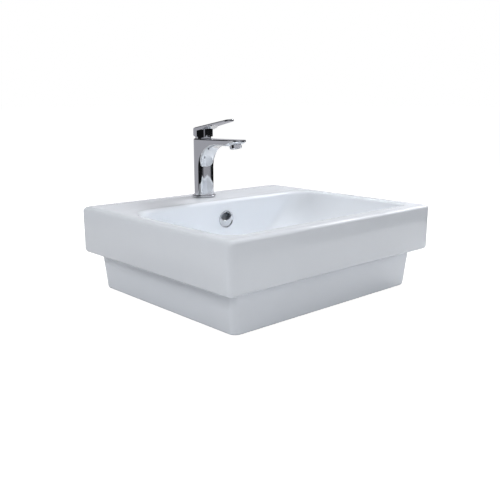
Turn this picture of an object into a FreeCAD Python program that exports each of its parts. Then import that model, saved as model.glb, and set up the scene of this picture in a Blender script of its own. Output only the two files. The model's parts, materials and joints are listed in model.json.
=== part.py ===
import FreeCAD, Part
import math
import os
import re
import Sketcher

# Driving sizes: millimetres, degrees and plain powers
SIZES = {
    # Ceramic basin, outside
    "basin_width": 560,
    "basin_depth": 470,
    "basin_height": 175,
    "skirt_height": 79,
    "skirt_side_inset": 28.5,
    "skirt_front_inset": 23.5,
    "skirt_back_inset": 18.5,
    "skirt_draft": 4.5,
    "rim_corner_radius": 10,
    "rim_top_radius": 8,
    "rim_bottom_radius": 9,
    "skirt_corner_radius": 14,
    "skirt_bottom_radius": 5,
    "ceramic_wall": 12,
    # Bowl
    "bowl_width": 500,
    "front_rim": 35,
    "deck_depth": 132,
    "bowl_depth": 113,
    "bowl_front_radius": 30,
    "bowl_back_radius": 55,
    "bowl_edge_radius": 8,
    "side_run": 150,
    "front_run": 85,
    "back_run": 35,
    "side_power": 1.3,
    "front_power": 1.8,
    "back_power": 3,
    "floor_thickness": 14,
    # Overflow
    "overflow_drop": 43,
    "overflow_sleeve_radius": 13.5,
    "overflow_bore_radius": 11.5,
    "overflow_flange_radius": 19.5,
    "overflow_flange_thickness": 3,
    "overflow_lip_width": 2,
    "duct_width": 28,
    "duct_height": 14,
    "duct_wall": 8,
    # Waste
    "tail_radius": 20.95,
    "tail_bore_radius": 18.5,
    "tail_length": 58,
    "thread_relief": 0.5,
    "waste_hole_clearance": 2,
    "waste_flange_radius": 33,
    "waste_flange_thickness": 3.5,
    "waste_recess_depth": 5,
    "boss_radius": 46,
    "boss_depth": 34,
    "waste_gasket_thickness": 2,
    "lower_gasket_radius": 36,
    "lower_gasket_thickness": 5,
    "back_nut_radius": 31,
    "back_nut_height": 10,
    "overflow_slot_width": 16,
    "overflow_slot_height": 13,
    "overflow_slot_drop": 14,
    "spider_width": 5,
    "spider_height": 8,
    "spider_drop": 26,
    "hub_radius": 8,
    "click_shank_radius": 4,
    "click_barrel_radius": 7,
    "click_bore_radius": 5,
    "click_barrel_top": 2,
    "click_floor": 1,
    "click_rod_radius": 3,
    "click_piston_height": 4,
    "spring_length": 15,
    "spring_wire": 1.2,
    "plug_lift": 9,
    "plug_radius": 28.5,
    "plug_thickness": 5,
    "plug_crown": 2,
    "plug_boss_radius": 6,
    "plug_boss_height": 3,
    "plug_seal_radius": 26,
    "plug_seal_width": 4,
    "plug_seal_thickness": 2,
    # Mixer tap, outside
    "tap_setback": 55,
    "tap_hole_radius": 17.5,
    "base_gasket_thickness": 1,
    "base_ring_radius": 27,
    "base_ring_height": 4,
    "shank_radius": 16.5,
    "shank_depth": 8,
    "body_width": 43,
    "column_front": 17,
    "body_top": 131,
    "spout_underside": 118,
    "spout_reach": 110,
    "spout_tip": 135,
    "spout_tip_radius": 17,
    "spout_tip_rise": 2,
    "arch_radius": 50,
    "nose_radius": 30,
    "belly_radius": 7.5,
    "body_edge_radius": 1.5,
    # Waterways and fixing of the mixer tap
    "waterway_height": 124.5,
    "waterway_radius": 4.5,
    "inlet_radius": 5,
    "inlet_spacing": 17,
    "inlet_thread_length": 14,
    "stud_radius": 3,
    "stud_spacing": 20,
    "stud_length": 52,
    "stud_thread_depth": 14,
    "horseshoe_radius": 24,
    "horseshoe_slot": 11,
    "rubber_horseshoe_thickness": 3,
    "steel_horseshoe_thickness": 2,
    "stud_nut_radius": 5.6,
    "stud_nut_height": 5,
    # Aerator
    "aerator_radius": 13,
    "aerator_drop": 8,
    "aerator_tilt": 12,
    "aerator_thread_radius": 11,
    "aerator_thread_length": 8,
    "aerator_wall": 1.8,
    "aerator_washer_thickness": 1.5,
    # Cartridge
    "cartridge_radius": 17.2,
    "cartridge_wall": 2.7,
    "neck_radius": 14.8,
    "neck_wall": 1.5,
    "neck_opening_radius": 11.5,
    "neck_lip": 2,
    "neck_top": 7,
    "shoulder_drop": 10,
    "base_thickness": 4.6,
    "fixed_disc_thickness": 3,
    "moving_disc_thickness": 4,
    "moving_disc_radius": 9.5,
    "rotor_height": 10.8,
    "rotor_slot_width": 7.8,
    "rotor_slot_length": 15,
    "pin_radius": 1.5,
    "stem_width": 7,
    "stem_top": 17,
    "tongue_radius": 2.5,
    "tongue_length": 8.4,
    "tongue_play": 0.8,
    "nut_radius": 19.4,
    "cover_radius": 18,
    "cover_wall": 1.4,
    "cover_top": 9,
    # Lever handle, heights counted from its pivot
    "pivot_rise": 4,
    "handle_radius": 22,
    "handle_gap": 4.5,
    "handle_rear_top": 17,
    "lever_reach": 99,
    "lever_tip_radius": 12,
    "lever_tip_top": 41,
    "lever_tip_thickness": 4,
    "lever_root_underside": 18,
    "lever_neck": 18,
    "lever_neck_underside": 25,
    "lever_lift": 22,
    "handle_boss_radius": 7.5,
    "handle_boss_bottom": 10,
    "set_screw_radius": 2.4,
    "set_screw_length": 4,
    "set_screw_height": 13,
    "index_plug_length": 3,
    # Fits and clearances
    "running_fit": 0.05,
    "slip_fit": 0.1,
    "slide_gap": 0.2,
    "swing_gap": 0.6,
    "loose_fit": 0.3,
}

# Places that several pieces share, as expressions on the sizes
BOWL_BACK = "basin_depth / 2 - deck_depth"
BOWL_FRONT = "basin_depth / 2 - front_rim"
BOWL_FLOOR = "basin_height - bowl_depth"
TAP_Y = "basin_depth / 2 - tap_setback"
BODY_BOTTOM = "base_gasket_thickness + base_ring_height"
PIVOT = "body_top + pivot_rise"
NOSE_START = "spout_reach - aerator_radius - nose_radius * tan(aerator_tilt / 2)"
AERATOR_SEAT = f"spout_underside + (spout_reach - ({NOSE_START})) * tan(aerator_tilt)"
SHOULDER = f"{PIVOT} - shoulder_drop"
ROTOR_BOTTOM = f"{PIVOT} + neck_top - neck_lip - slide_gap - rotor_height"
MOVING_DISC_BOTTOM = f"{ROTOR_BOTTOM} - slide_gap - moving_disc_thickness"
FIXED_DISC_BOTTOM = f"{MOVING_DISC_BOTTOM} - slide_gap - fixed_disc_thickness"
CARTRIDGE_BOTTOM = f"{FIXED_DISC_BOTTOM} - base_thickness"
SPIDER_BOTTOM = "spider_drop + spider_height"
CLICK_BOTTOM = "spider_drop - click_floor"
PISTON_BOTTOM = "spider_drop - click_floor - spring_length"
BOWL_STEPS = (0, 0.2, 0.4, 0.58, 0.74, 0.87, 0.96, 1)
MOUTH_ROUND = "min(bowl_edge_radius; max((basin_width - bowl_width) * 0.225; 0.3))"
NUT_SIDES = 6

document = FreeCAD.newDocument("countertop_basin")
sheet = document.addObject("Spreadsheet::Sheet", "Sizes")
for row, (alias, number) in enumerate(SIZES.items(), start=1):
    sheet.set(f"A{row}", alias)
    sheet.set(f"B{row}", str(number))
    sheet.setAlias(f"B{row}", alias)
document.recompute()
pieces = []


def cells(expression):
    """The expression with each size written as its cell of the sheet."""
    return re.sub(r"[a-z_]+", lambda word: f"Sizes.{word[0]}" if word[0] in SIZES else word[0], expression)


def value(expression):
    return float(sheet.evalExpression(cells(expression)))


def bind(item, name, expression):
    item.setExpression(name, cells(expression))


def place(piece, label, y="0", z="0"):
    """Names a finished piece and sets it in the part's frame."""
    piece.Label = label
    bind(piece, "Placement.Base.y", y)
    bind(piece, "Placement.Base.z", z)
    pieces.append(piece)
    return piece


def on_deck(piece, label):
    """Sets a piece whose own origin is the tap's axis at the top of the deck."""
    return place(piece, label, TAP_Y, "basin_height")


def on_floor(piece, label):
    """Sets a piece whose own origin is the waste's axis at the top of the bowl's floor."""
    return place(piece, label, "0", BOWL_FLOOR)


def new_sketch(body, role, height="0"):
    """An empty sketch on one of the body's own planes, raised along its normal."""
    sketch = body.newObject("Sketcher::SketchObject", f"{body.Name}_sketch")
    support = next(item for item in body.Origin.OriginFeatures if item.Role == role)
    sketch.AttachmentSupport = [(support, "")]
    sketch.MapMode = "FlatFace"
    bind(sketch, "AttachmentOffset.Base.z", height)
    return sketch


def dimension(sketch, kind, first, second, expression):
    """A driven distance; one that is negative is measured the other way."""
    number = value(expression)
    if number < 0:
        first, second, expression = second, first, f"-({expression})"
    index = sketch.addConstraint(Sketcher.Constraint(kind, *first, *second, abs(number)))
    bind(sketch, f"Constraints[{index}]", expression)


def locate(sketch, geometry, point, u, v):
    """Fixes a point of the sketch by its two coordinates from the origin."""
    origin = (-1, 1)
    for kind, axis, expression in (("DistanceX", -2, u), ("DistanceY", -1, v)):
        if expression == "0":
            sketch.addConstraint(Sketcher.Constraint("PointOnObject", geometry, point, axis))
        else:
            dimension(sketch, kind, origin, (geometry, point), expression)


def radius(sketch, geometry, expression):
    index = sketch.addConstraint(Sketcher.Constraint("Radius", geometry, value(expression)))
    bind(sketch, f"Constraints[{index}]", expression)


def polygon(sketch, corners):
    """A closed outline of straight lines through the corners."""
    points = [FreeCAD.Vector(value(u), value(v), 0) for u, v in corners]
    count = len(points)
    first = sketch.GeometryCount
    for index in range(count):
        sketch.addGeometry(Part.LineSegment(points[index], points[(index + 1) % count]), False)
    for index in range(count):
        follower = first + (index + 1) % count
        sketch.addConstraint(Sketcher.Constraint("Coincident", first + index, 2, follower, 1))
    for index, (u, v) in enumerate(corners):
        locate(sketch, first + index, 1, u, v)


def chain(sketch, items):
    """Joins lines and arcs end to start, tangent at every joint."""
    for item, follower in zip(items, items[1:] + items[:1]):
        sketch.addConstraint(Sketcher.Constraint("Tangent", item, 2, follower, 1))


def arc(sketch, u, v, size, start, end):
    middle = FreeCAD.Vector(u, v, 0)
    turn = Part.Circle(middle, FreeCAD.Vector(0, 0, 1), size)
    return sketch.addGeometry(Part.ArcOfCircle(turn, math.radians(start), math.radians(end)), False)


def line(sketch, start, end):
    return sketch.addGeometry(Part.LineSegment(FreeCAD.Vector(*start, 0), FreeCAD.Vector(*end, 0)), False)


def rounded_rectangle(sketch, half_width, front, back, front_radius, back_radius):
    """A rectangle, even about the sketch's Y axis, with round corners at its front and back."""
    w, f, b = value(half_width), value(front), value(back)
    rf, rb = value(front_radius), value(back_radius)
    outline = [
        line(sketch, (rf - w, -f), (w - rf, -f)),
        arc(sketch, w - rf, rf - f, rf, -90, 0),
        line(sketch, (w, rf - f), (w, b - rb)),
        arc(sketch, w - rb, b - rb, rb, 0, 90),
        line(sketch, (w - rb, b), (rb - w, b)),
        arc(sketch, rb - w, b - rb, rb, 90, 180),
        line(sketch, (-w, b - rb), (-w, rf - f)),
        arc(sketch, rf - w, rf - f, rf, 180, 270),
    ]
    chain(sketch, outline)
    front_line, front_right, right, back_right, back_line, back_left, left, front_left = outline
    for item in (front_line, back_line):
        sketch.addConstraint(Sketcher.Constraint("Horizontal", item))
    for item in (left, right):
        sketch.addConstraint(Sketcher.Constraint("Vertical", item))
    sketch.addConstraint(Sketcher.Constraint("Equal", front_right, front_left))
    sketch.addConstraint(Sketcher.Constraint("Equal", back_right, back_left))
    radius(sketch, front_right, front_radius)
    radius(sketch, back_right, back_radius)
    origin = (-1, 1)
    dimension(sketch, "DistanceX", origin, (right, 1), half_width)
    dimension(sketch, "DistanceX", (left, 1), origin, half_width)
    dimension(sketch, "DistanceY", (front_line, 1), origin, front)
    dimension(sketch, "DistanceY", origin, (back_line, 1), back)


def tapered_slot(sketch, rear_radius, front_radius, reach):
    """Two arcs and their shared tangents: a rear arc about the origin and a front arc ahead of it."""
    big, small, ahead = value(rear_radius), value(front_radius), value(reach)
    lean = math.degrees(math.asin((big - small) / ahead))
    right_start = FreeCAD.Vector(math.cos(math.radians(lean)), -math.sin(math.radians(lean)), 0)
    outline = [
        arc(sketch, 0, 0, big, -lean, 180 + lean),
        line(sketch, (-big * right_start.x, big * right_start.y),
             (-small * right_start.x, small * right_start.y - ahead)),
        arc(sketch, 0, -ahead, small, 180 + lean, 360 - lean),
        line(sketch, (small * right_start.x, small * right_start.y - ahead),
             (big * right_start.x, big * right_start.y)),
    ]
    chain(sketch, outline)
    rear, _, front, _ = outline
    sketch.addConstraint(Sketcher.Constraint("Coincident", rear, 3, -1, 1))
    locate(sketch, front, 3, "0", f"-({reach})")
    radius(sketch, rear, rear_radius)
    radius(sketch, front, front_radius)


def new_body(name):
    return document.addObject("PartDesign::Body", name)


def pad(body, sketch, length, both_ways=False, draft=None, reverse=False):
    """Adds the sketch's area, drawn out along its normal."""
    feature = body.newObject("PartDesign::Pad", f"{body.Name}_pad")
    feature.Profile = sketch
    feature.SideType = "Symmetric" if both_ways else "One side"
    feature.Reversed = reverse
    bind(feature, "Length", length)
    if draft:
        bind(feature, "TaperAngle", draft)
    document.recompute()
    return feature


def pocket(body, sketch, length, both_ways=False, reverse=False):
    """Takes the sketch's area away, drawn out against its normal."""
    before = body.Shape.Volume
    feature = body.newObject("PartDesign::Pocket", f"{body.Name}_pocket")
    feature.Profile = sketch
    feature.SideType = "Symmetric" if both_ways else "One side"
    feature.Reversed = reverse
    bind(feature, "Length", length)
    document.recompute()
    if body.Shape.Volume >= before:
        raise RuntimeError(f"{body.Name}: a pocket cuts nothing")
    return feature


def fillet(body, size, chosen):
    """Rounds the body's edges that the test chooses."""
    sharp = body.Tip
    names = [f"Edge{index}" for index, edge in enumerate(sharp.Shape.Edges, start=1) if chosen(edge)]
    feature = body.newObject("PartDesign::Fillet", f"{body.Name}_fillet")
    feature.Base = (sharp, names)
    bind(feature, "Radius", size)
    document.recompute()
    return feature


def turned(name, corners):
    """A piece turned about its Z axis from an outline of (radius, height) corners."""
    body = new_body(name)
    sketch = new_sketch(body, "XZ_Plane")
    polygon(sketch, corners)
    feature = body.newObject("PartDesign::Revolution", f"{name}_turn")
    feature.Profile = sketch
    feature.ReferenceAxis = (sketch, ["V_Axis"])
    feature.Angle = 360
    document.recompute()
    return body


def ring(name, inner, outer, bottom, top):
    return turned(name, [(inner, bottom), (outer, bottom), (outer, top), (inner, top)])


def cylinder(name, size, length, x="0", y="0", z="0", along="Z"):
    """A round bar whose foot is at the point and which runs along an axis."""
    bar = document.addObject("Part::Cylinder", name)
    turns = {
        "X": FreeCAD.Rotation(FreeCAD.Vector(0, 1, 0), 90),
        "Y": FreeCAD.Rotation(FreeCAD.Vector(1, 0, 0), -90),
        "Z": FreeCAD.Rotation(),
    }
    bar.Placement.Rotation = turns[along]
    bind(bar, "Radius", size)
    bind(bar, "Height", length)
    for axis, expression in zip("xyz", (x, y, z)):
        bind(bar, f"Placement.Base.{axis}", expression)
    return bar


def bar_on_deck(label, size, length, along, x="0", y="0", z="0"):
    """A plain round bar that is a piece of the tap by itself."""
    bar = cylinder(label, size, length, x=x, along=along)
    place(bar, label, f"{TAP_Y} + ({y})", f"basin_height + ({z})")


def box(name, width, depth, height, y="0", z="0"):
    """A block, even about X = 0, that runs back from y and up from z."""
    block = document.addObject("Part::Box", name)
    bind(block, "Length", width)
    bind(block, "Width", depth)
    bind(block, "Height", height)
    bind(block, "Placement.Base.x", f"-({width}) / 2")
    bind(block, "Placement.Base.y", y)
    bind(block, "Placement.Base.z", z)
    return block


def sphere(name, size, z):
    ball = document.addObject("Part::Sphere", name)
    bind(ball, "Radius", size)
    bind(ball, "Placement.Base.z", z)
    return ball


def fuse(name, shapes):
    joined = document.addObject("Part::MultiFuse", name)
    joined.Shapes = shapes
    return joined


def cut(name, base, tool):
    result = document.addObject("Part::Cut", name)
    result.Base = base
    result.Tool = tool
    return result


def common(name, base, tool):
    result = document.addObject("Part::Common", name)
    result.Base = base
    result.Tool = tool
    return result


def wall_inset(run, power, step):
    """How far a bowl wall has come in at a share of the depth: a superellipse quarter."""
    return f"({run}) * (1 - (1 - {step} ^ {power}) ^ (1 / {power}))"


def bowl_body(name, growth, depth):
    """The bowl's space, or its outside when it is grown by the ceramic's thickness."""
    body = new_body(name)
    sections = []
    for step in BOWL_STEPS:
        sketch = new_sketch(body, "XY_Plane", f"basin_height - ({depth}) * {step}")
        rounded_rectangle(
            sketch,
            f"bowl_width / 2 + ({growth}) - {wall_inset('side_run', 'side_power', step)}",
            f"{BOWL_FRONT} + ({growth}) - {wall_inset('front_run', 'front_power', step)}",
            f"{BOWL_BACK} + ({growth}) - {wall_inset('back_run', 'back_power', step)}",
            "bowl_front_radius",
            "bowl_back_radius",
        )
        sections.append(sketch)
    loft = body.newObject("PartDesign::AdditiveLoft", f"{name}_loft")
    loft.Profile = sections[0]
    loft.Sections = sections[1:]
    document.recompute()
    return body


def level(edge, height):
    """Whether the whole edge lies at one height."""
    span = edge.BoundBox
    return abs(span.ZMin - height) < 0.01 and abs(span.ZMax - height) < 0.01


def basin_outside():
    """The rim block on its narrower, tapering skirt, with rounded edges."""
    body = new_body("basin_outside")
    rim = new_sketch(body, "XY_Plane", "skirt_height")
    rounded_rectangle(rim, "basin_width / 2", "basin_depth / 2", "basin_depth / 2",
                      "rim_corner_radius", "rim_corner_radius")
    pad(body, rim, "basin_height - skirt_height")
    fillet(body, "rim_top_radius", lambda edge: level(edge, value("basin_height")))
    fillet(body, "rim_bottom_radius", lambda edge: level(edge, value("skirt_height")))
    skirt = new_sketch(body, "XY_Plane", "skirt_height")
    rounded_rectangle(skirt, "basin_width / 2 - skirt_side_inset", "basin_depth / 2 - skirt_front_inset",
                      "basin_depth / 2 - skirt_back_inset", "skirt_corner_radius", "skirt_corner_radius")
    pad(body, skirt, "skirt_height", draft="-skirt_draft", reverse=True)
    fillet(body, "skirt_bottom_radius", lambda edge: level(edge, 0))
    return body


def basin_inside():
    """The space below the bowl, open at the bottom, within walls of even thickness."""
    body = new_body("basin_inside")
    skirt = new_sketch(body, "XY_Plane", "skirt_height")
    rounded_rectangle(skirt, "basin_width / 2 - skirt_side_inset - ceramic_wall",
                      "basin_depth / 2 - skirt_front_inset - ceramic_wall",
                      "basin_depth / 2 - skirt_back_inset - ceramic_wall",
                      "skirt_corner_radius", "skirt_corner_radius")
    pad(body, skirt, "skirt_height", draft="-skirt_draft", reverse=True)
    pad(body, skirt, "ceramic_wall")
    rim = new_sketch(body, "XY_Plane", "skirt_height + ceramic_wall")
    rounded_rectangle(rim, "basin_width / 2 - ceramic_wall", "basin_depth / 2 - ceramic_wall",
                      "basin_depth / 2 - ceramic_wall", "rim_corner_radius", "rim_corner_radius")
    pad(body, rim, "basin_height - skirt_height - 2 * ceramic_wall")
    return body


def overflow_duct():
    """The overflow's way: down behind the back wall and forward under the floor, solid and hollow."""
    depth = "duct_height"
    run_back = f"{BOWL_BACK} + ceramic_wall + {depth}"
    foot = f"{BOWL_FLOOR} - boss_depth"
    top = "basin_height - overflow_drop + overflow_sleeve_radius + duct_wall"
    solid = [
        box("duct_floor_wall", "duct_width + 2 * duct_wall", f"{run_back} + duct_wall",
            "boss_depth - floor_thickness / 2", z=foot),
        box("duct_back_wall", "duct_width + 2 * duct_wall", f"ceramic_wall + {depth} + duct_wall",
            f"{top} - ({foot})", y=BOWL_BACK, z=foot),
    ]
    passage_foot = f"{foot} + duct_wall"
    hollow = [
        box("duct_floor_way", "duct_width", run_back, "duct_height", z=passage_foot),
        box("duct_back_way", "duct_width", depth, f"{top} - duct_wall - ({passage_foot})",
            y=f"{BOWL_BACK} + ceramic_wall", z=passage_foot),
    ]
    return solid, hollow


def basin():
    """The glazed ceramic: outside less the bowl, the space below it, the duct and the holes."""
    duct_solid, duct_hollow = overflow_duct()
    bowl_back = bowl_body("bowl_outside", "ceramic_wall", "bowl_depth + floor_thickness")
    boss = cylinder("waste_boss", "boss_radius", "boss_depth", z=f"{BOWL_FLOOR} - boss_depth")
    behind = fuse("behind_bowl", [bowl_back, boss] + duct_solid)
    below = cut("space_below", basin_inside(), behind)
    hole_height = f"{BOWL_BACK} + ceramic_wall + duct_height / 2"
    overflow_z = "basin_height - overflow_drop"
    openings = [
        bowl_body("bowl_space", "0", "bowl_depth"),
        cylinder("waste_hole", "tail_radius + waste_hole_clearance", "basin_height"),
        cylinder("waste_recess", "waste_flange_radius + waste_hole_clearance", "basin_height",
                 z=f"{BOWL_FLOOR} - waste_recess_depth"),
        cylinder("tap_hole", "tap_hole_radius", "2 * ceramic_wall", y=TAP_Y,
                 z="basin_height - 1.5 * ceramic_wall"),
        cylinder("overflow_hole", "overflow_sleeve_radius + loose_fit", hole_height, z=overflow_z, along="Y"),
        cylinder("overflow_seat", "overflow_flange_radius + loose_fit", BOWL_BACK, z=overflow_z, along="Y"),
    ]
    hollow = fuse("basin_openings", [below] + openings + duct_hollow)
    sharp = cut("basin_sharp", basin_outside(), hollow)
    document.recompute()
    rounded = document.addObject("Part::Fillet", "basin")
    rounded.Base = sharp
    size = value(MOUTH_ROUND)
    rim = value("basin_width / 2 - rim_top_radius")
    mouth = [
        (index, size, size)
        for index, edge in enumerate(sharp.Shape.Edges, start=1)
        if level(edge, value("basin_height"))
        and abs(edge.CenterOfMass.x) < rim - 0.5
        and value(f"-({BOWL_FRONT})") - 0.5 < edge.CenterOfMass.y < value(BOWL_BACK) + 0.5
    ]
    rounded.Edges = mouth
    place(rounded, "basin")


def overflow_ring():
    """The chrome liner of the overflow: a sleeve in the hole and a funnel with a thin lip in the bowl."""
    body = turned("overflow_ring", [
        ("overflow_bore_radius", "-(ceramic_wall - loose_fit)"),
        ("overflow_sleeve_radius", "-(ceramic_wall - loose_fit)"),
        ("overflow_sleeve_radius", "0"),
        ("overflow_flange_radius", "0"),
        ("overflow_flange_radius", "overflow_flange_thickness - overflow_lip_width / 2"),
        ("overflow_flange_radius - overflow_lip_width / 2", "overflow_flange_thickness"),
        ("overflow_flange_radius - overflow_lip_width", "overflow_flange_thickness"),
        ("overflow_bore_radius", "0"),
    ])
    body.Placement.Rotation = FreeCAD.Rotation(FreeCAD.Vector(1, 0, 0), 90)
    place(body, "overflow_ring", f"{BOWL_BACK} - loose_fit / 10", "basin_height - overflow_drop")


def waste_body():
    """Flange, threaded tail, overflow slots and the spider that carries the click mechanism."""
    top = "waste_flange_thickness - waste_recess_depth + waste_gasket_thickness"
    seat = "waste_gasket_thickness - waste_recess_depth"
    relief = "boss_depth + lower_gasket_thickness + back_nut_height"
    tube = turned("waste_tube", [
        ("tail_bore_radius", "-tail_length"),
        ("tail_radius", "-tail_length"),
        ("tail_radius", f"-({relief} + thread_relief)"),
        ("tail_radius - thread_relief", f"-({relief} + thread_relief)"),
        ("tail_radius - thread_relief", f"-({relief})"),
        ("tail_radius", f"-({relief})"),
        ("tail_radius", seat),
        ("waste_flange_radius", seat),
        ("waste_flange_radius", f"{seat} + waste_flange_thickness / 2"),
        ("waste_flange_radius - waste_flange_thickness / 2", top),
        ("plug_seal_radius + waste_flange_thickness", top),
        ("tail_bore_radius", seat),
    ])
    slots = box("waste_slots", "overflow_slot_width", "3 * tail_radius", "overflow_slot_height",
                y="-1.5 * tail_radius", z="-(overflow_slot_drop + overflow_slot_height)")
    bar = box("spider_bar", "spider_width", "2 * tail_bore_radius + tail_radius - tail_bore_radius",
              "spider_height", y="-(tail_bore_radius + tail_radius) / 2", z=f"-({SPIDER_BOTTOM})")
    cross = box("spider_cross", "tail_bore_radius + tail_radius", "spider_width", "spider_height",
                y="-spider_width / 2", z=f"-({SPIDER_BOTTOM})")
    hub = cylinder("spider_hub", "hub_radius", "spider_height", z=f"-({SPIDER_BOTTOM})")
    solid = fuse("waste_solid", [cut("slotted_tube", tube, slots), bar, cross, hub])
    thread = cylinder("spider_thread", "click_shank_radius + running_fit", "tail_length", z="-tail_length")
    on_floor(cut("waste_body", solid, thread), "waste_body")


def waste_seals_and_nut():
    """The gaskets above and below the ceramic, and the nut that draws them tight."""
    bore = "tail_radius + loose_fit"
    gasket = ring("waste_upper_gasket", bore, "waste_flange_radius - loose_fit", "-waste_recess_depth",
                  "waste_gasket_thickness - waste_recess_depth")
    on_floor(gasket, "waste_upper_gasket")
    under = "boss_depth + lower_gasket_thickness"
    on_floor(ring("waste_lower_gasket", bore, "lower_gasket_radius", f"-({under})", "-boss_depth"),
             "waste_lower_gasket")
    prism = document.addObject("Part::Prism", "waste_nut_blank")
    prism.Polygon = NUT_SIDES
    bind(prism, "Circumradius", "back_nut_radius")
    bind(prism, "Height", "back_nut_height")
    bind(prism, "Placement.Base.z", f"-({under} + back_nut_height)")
    hole = cylinder("waste_nut_thread", "tail_radius + running_fit", "2 * back_nut_height",
                    z=f"-({under} + 1.5 * back_nut_height)")
    on_floor(cut("waste_back_nut", prism, hole), "waste_back_nut")


def click_mechanism():
    """The barrel on the spider, the spring in it and the piston rod that carries the plug."""
    lip = "click_barrel_top + click_floor"
    barrel = turned("click_housing", [
        ("0", f"-({SPIDER_BOTTOM})"),
        ("click_shank_radius", f"-({SPIDER_BOTTOM})"),
        ("click_shank_radius", "-spider_drop"),
        ("click_barrel_radius", "-spider_drop"),
        ("click_barrel_radius", "-click_barrel_top"),
        ("click_rod_radius + loose_fit", "-click_barrel_top"),
        ("click_rod_radius + loose_fit", f"-({lip})"),
        ("click_bore_radius", f"-({lip})"),
        ("click_bore_radius", f"-({CLICK_BOTTOM})"),
        ("0", f"-({CLICK_BOTTOM})"),
    ])
    on_floor(barrel, "click_housing")
    coil = "click_bore_radius - loose_fit"
    on_floor(ring("click_spring", f"{coil} - spring_wire", coil, f"-({CLICK_BOTTOM})",
                  f"-({PISTON_BOTTOM} + slide_gap)"), "click_spring")
    rod = turned("plug_stem", [
        ("0", f"-({PISTON_BOTTOM})"),
        ("click_bore_radius - slide_gap", f"-({PISTON_BOTTOM})"),
        ("click_bore_radius - slide_gap", f"click_piston_height - ({PISTON_BOTTOM})"),
        ("click_rod_radius", f"click_piston_height - ({PISTON_BOTTOM})"),
        ("click_rod_radius", "plug_lift"),
        ("0", "plug_lift"),
    ])
    on_floor(rod, "plug_stem")


def plug():
    """The crowned cap over the waste, with the boss that takes the rod, and its seal."""
    skirt = "plug_lift - plug_boss_height"
    cap = turned("plug_cap", [
        ("0", "plug_lift"),
        ("click_rod_radius + slip_fit", "plug_lift"),
        ("click_rod_radius + slip_fit", skirt),
        ("plug_boss_radius", skirt),
        ("plug_boss_radius", "plug_lift"),
        ("plug_radius", "plug_lift"),
        ("plug_radius", "plug_lift + plug_thickness - plug_crown"),
        ("plug_radius - plug_crown", "plug_lift + plug_thickness - plug_crown / 4"),
        ("plug_radius / 2", "plug_lift + plug_thickness"),
        ("0", "plug_lift + plug_thickness"),
    ])
    on_floor(cap, "plug_cap")
    on_floor(ring("plug_seal", "plug_seal_radius - plug_seal_width", "plug_seal_radius",
                  "plug_lift - plug_seal_thickness", "plug_lift"), "plug_seal")


def side_outline(body, corners, half_width):
    """A block with a side outline, even about X = 0."""
    side = new_sketch(body, "YZ_Plane")
    polygon(side, corners)
    pad(body, side, f"2 * ({half_width})", both_ways=True)
    return body


def trim_plan(body, plan):
    """Takes away what lies outside the plan outline."""
    rear_radius, front_radius, reach = plan
    sketch = new_sketch(body, "XY_Plane")
    far = f"({reach}) + 3 * ({front_radius})"
    wide = f"2 * ({rear_radius})"
    polygon(sketch, [(f"-({wide})", f"-({far})"), (wide, f"-({far})"), (wide, wide), (f"-({wide})", wide)])
    tapered_slot(sketch, rear_radius, front_radius, reach)
    pocket(body, sketch, f"4 * (body_top + {far})", both_ways=True)


def below_spout(edge):
    """Whether an edge of the tap's body borders its front and the spout's belly."""
    span = edge.BoundBox
    along = span.YLength + span.ZLength > 0.01
    ahead = edge.CenterOfMass.y < -value("column_front") / 2
    return along and ahead and value(BODY_BOTTOM) + 1 < span.ZMax < value("body_top") - 1


def tilt(piece):
    """Leans a piece of the aerator so that its jet runs forward."""
    piece.Placement.Rotation = FreeCAD.Rotation(FreeCAD.Vector(-1, 0, 0), value("aerator_tilt"))
    bind(piece, "Placement.Rotation.Angle", "aerator_tilt")
    return piece


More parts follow.
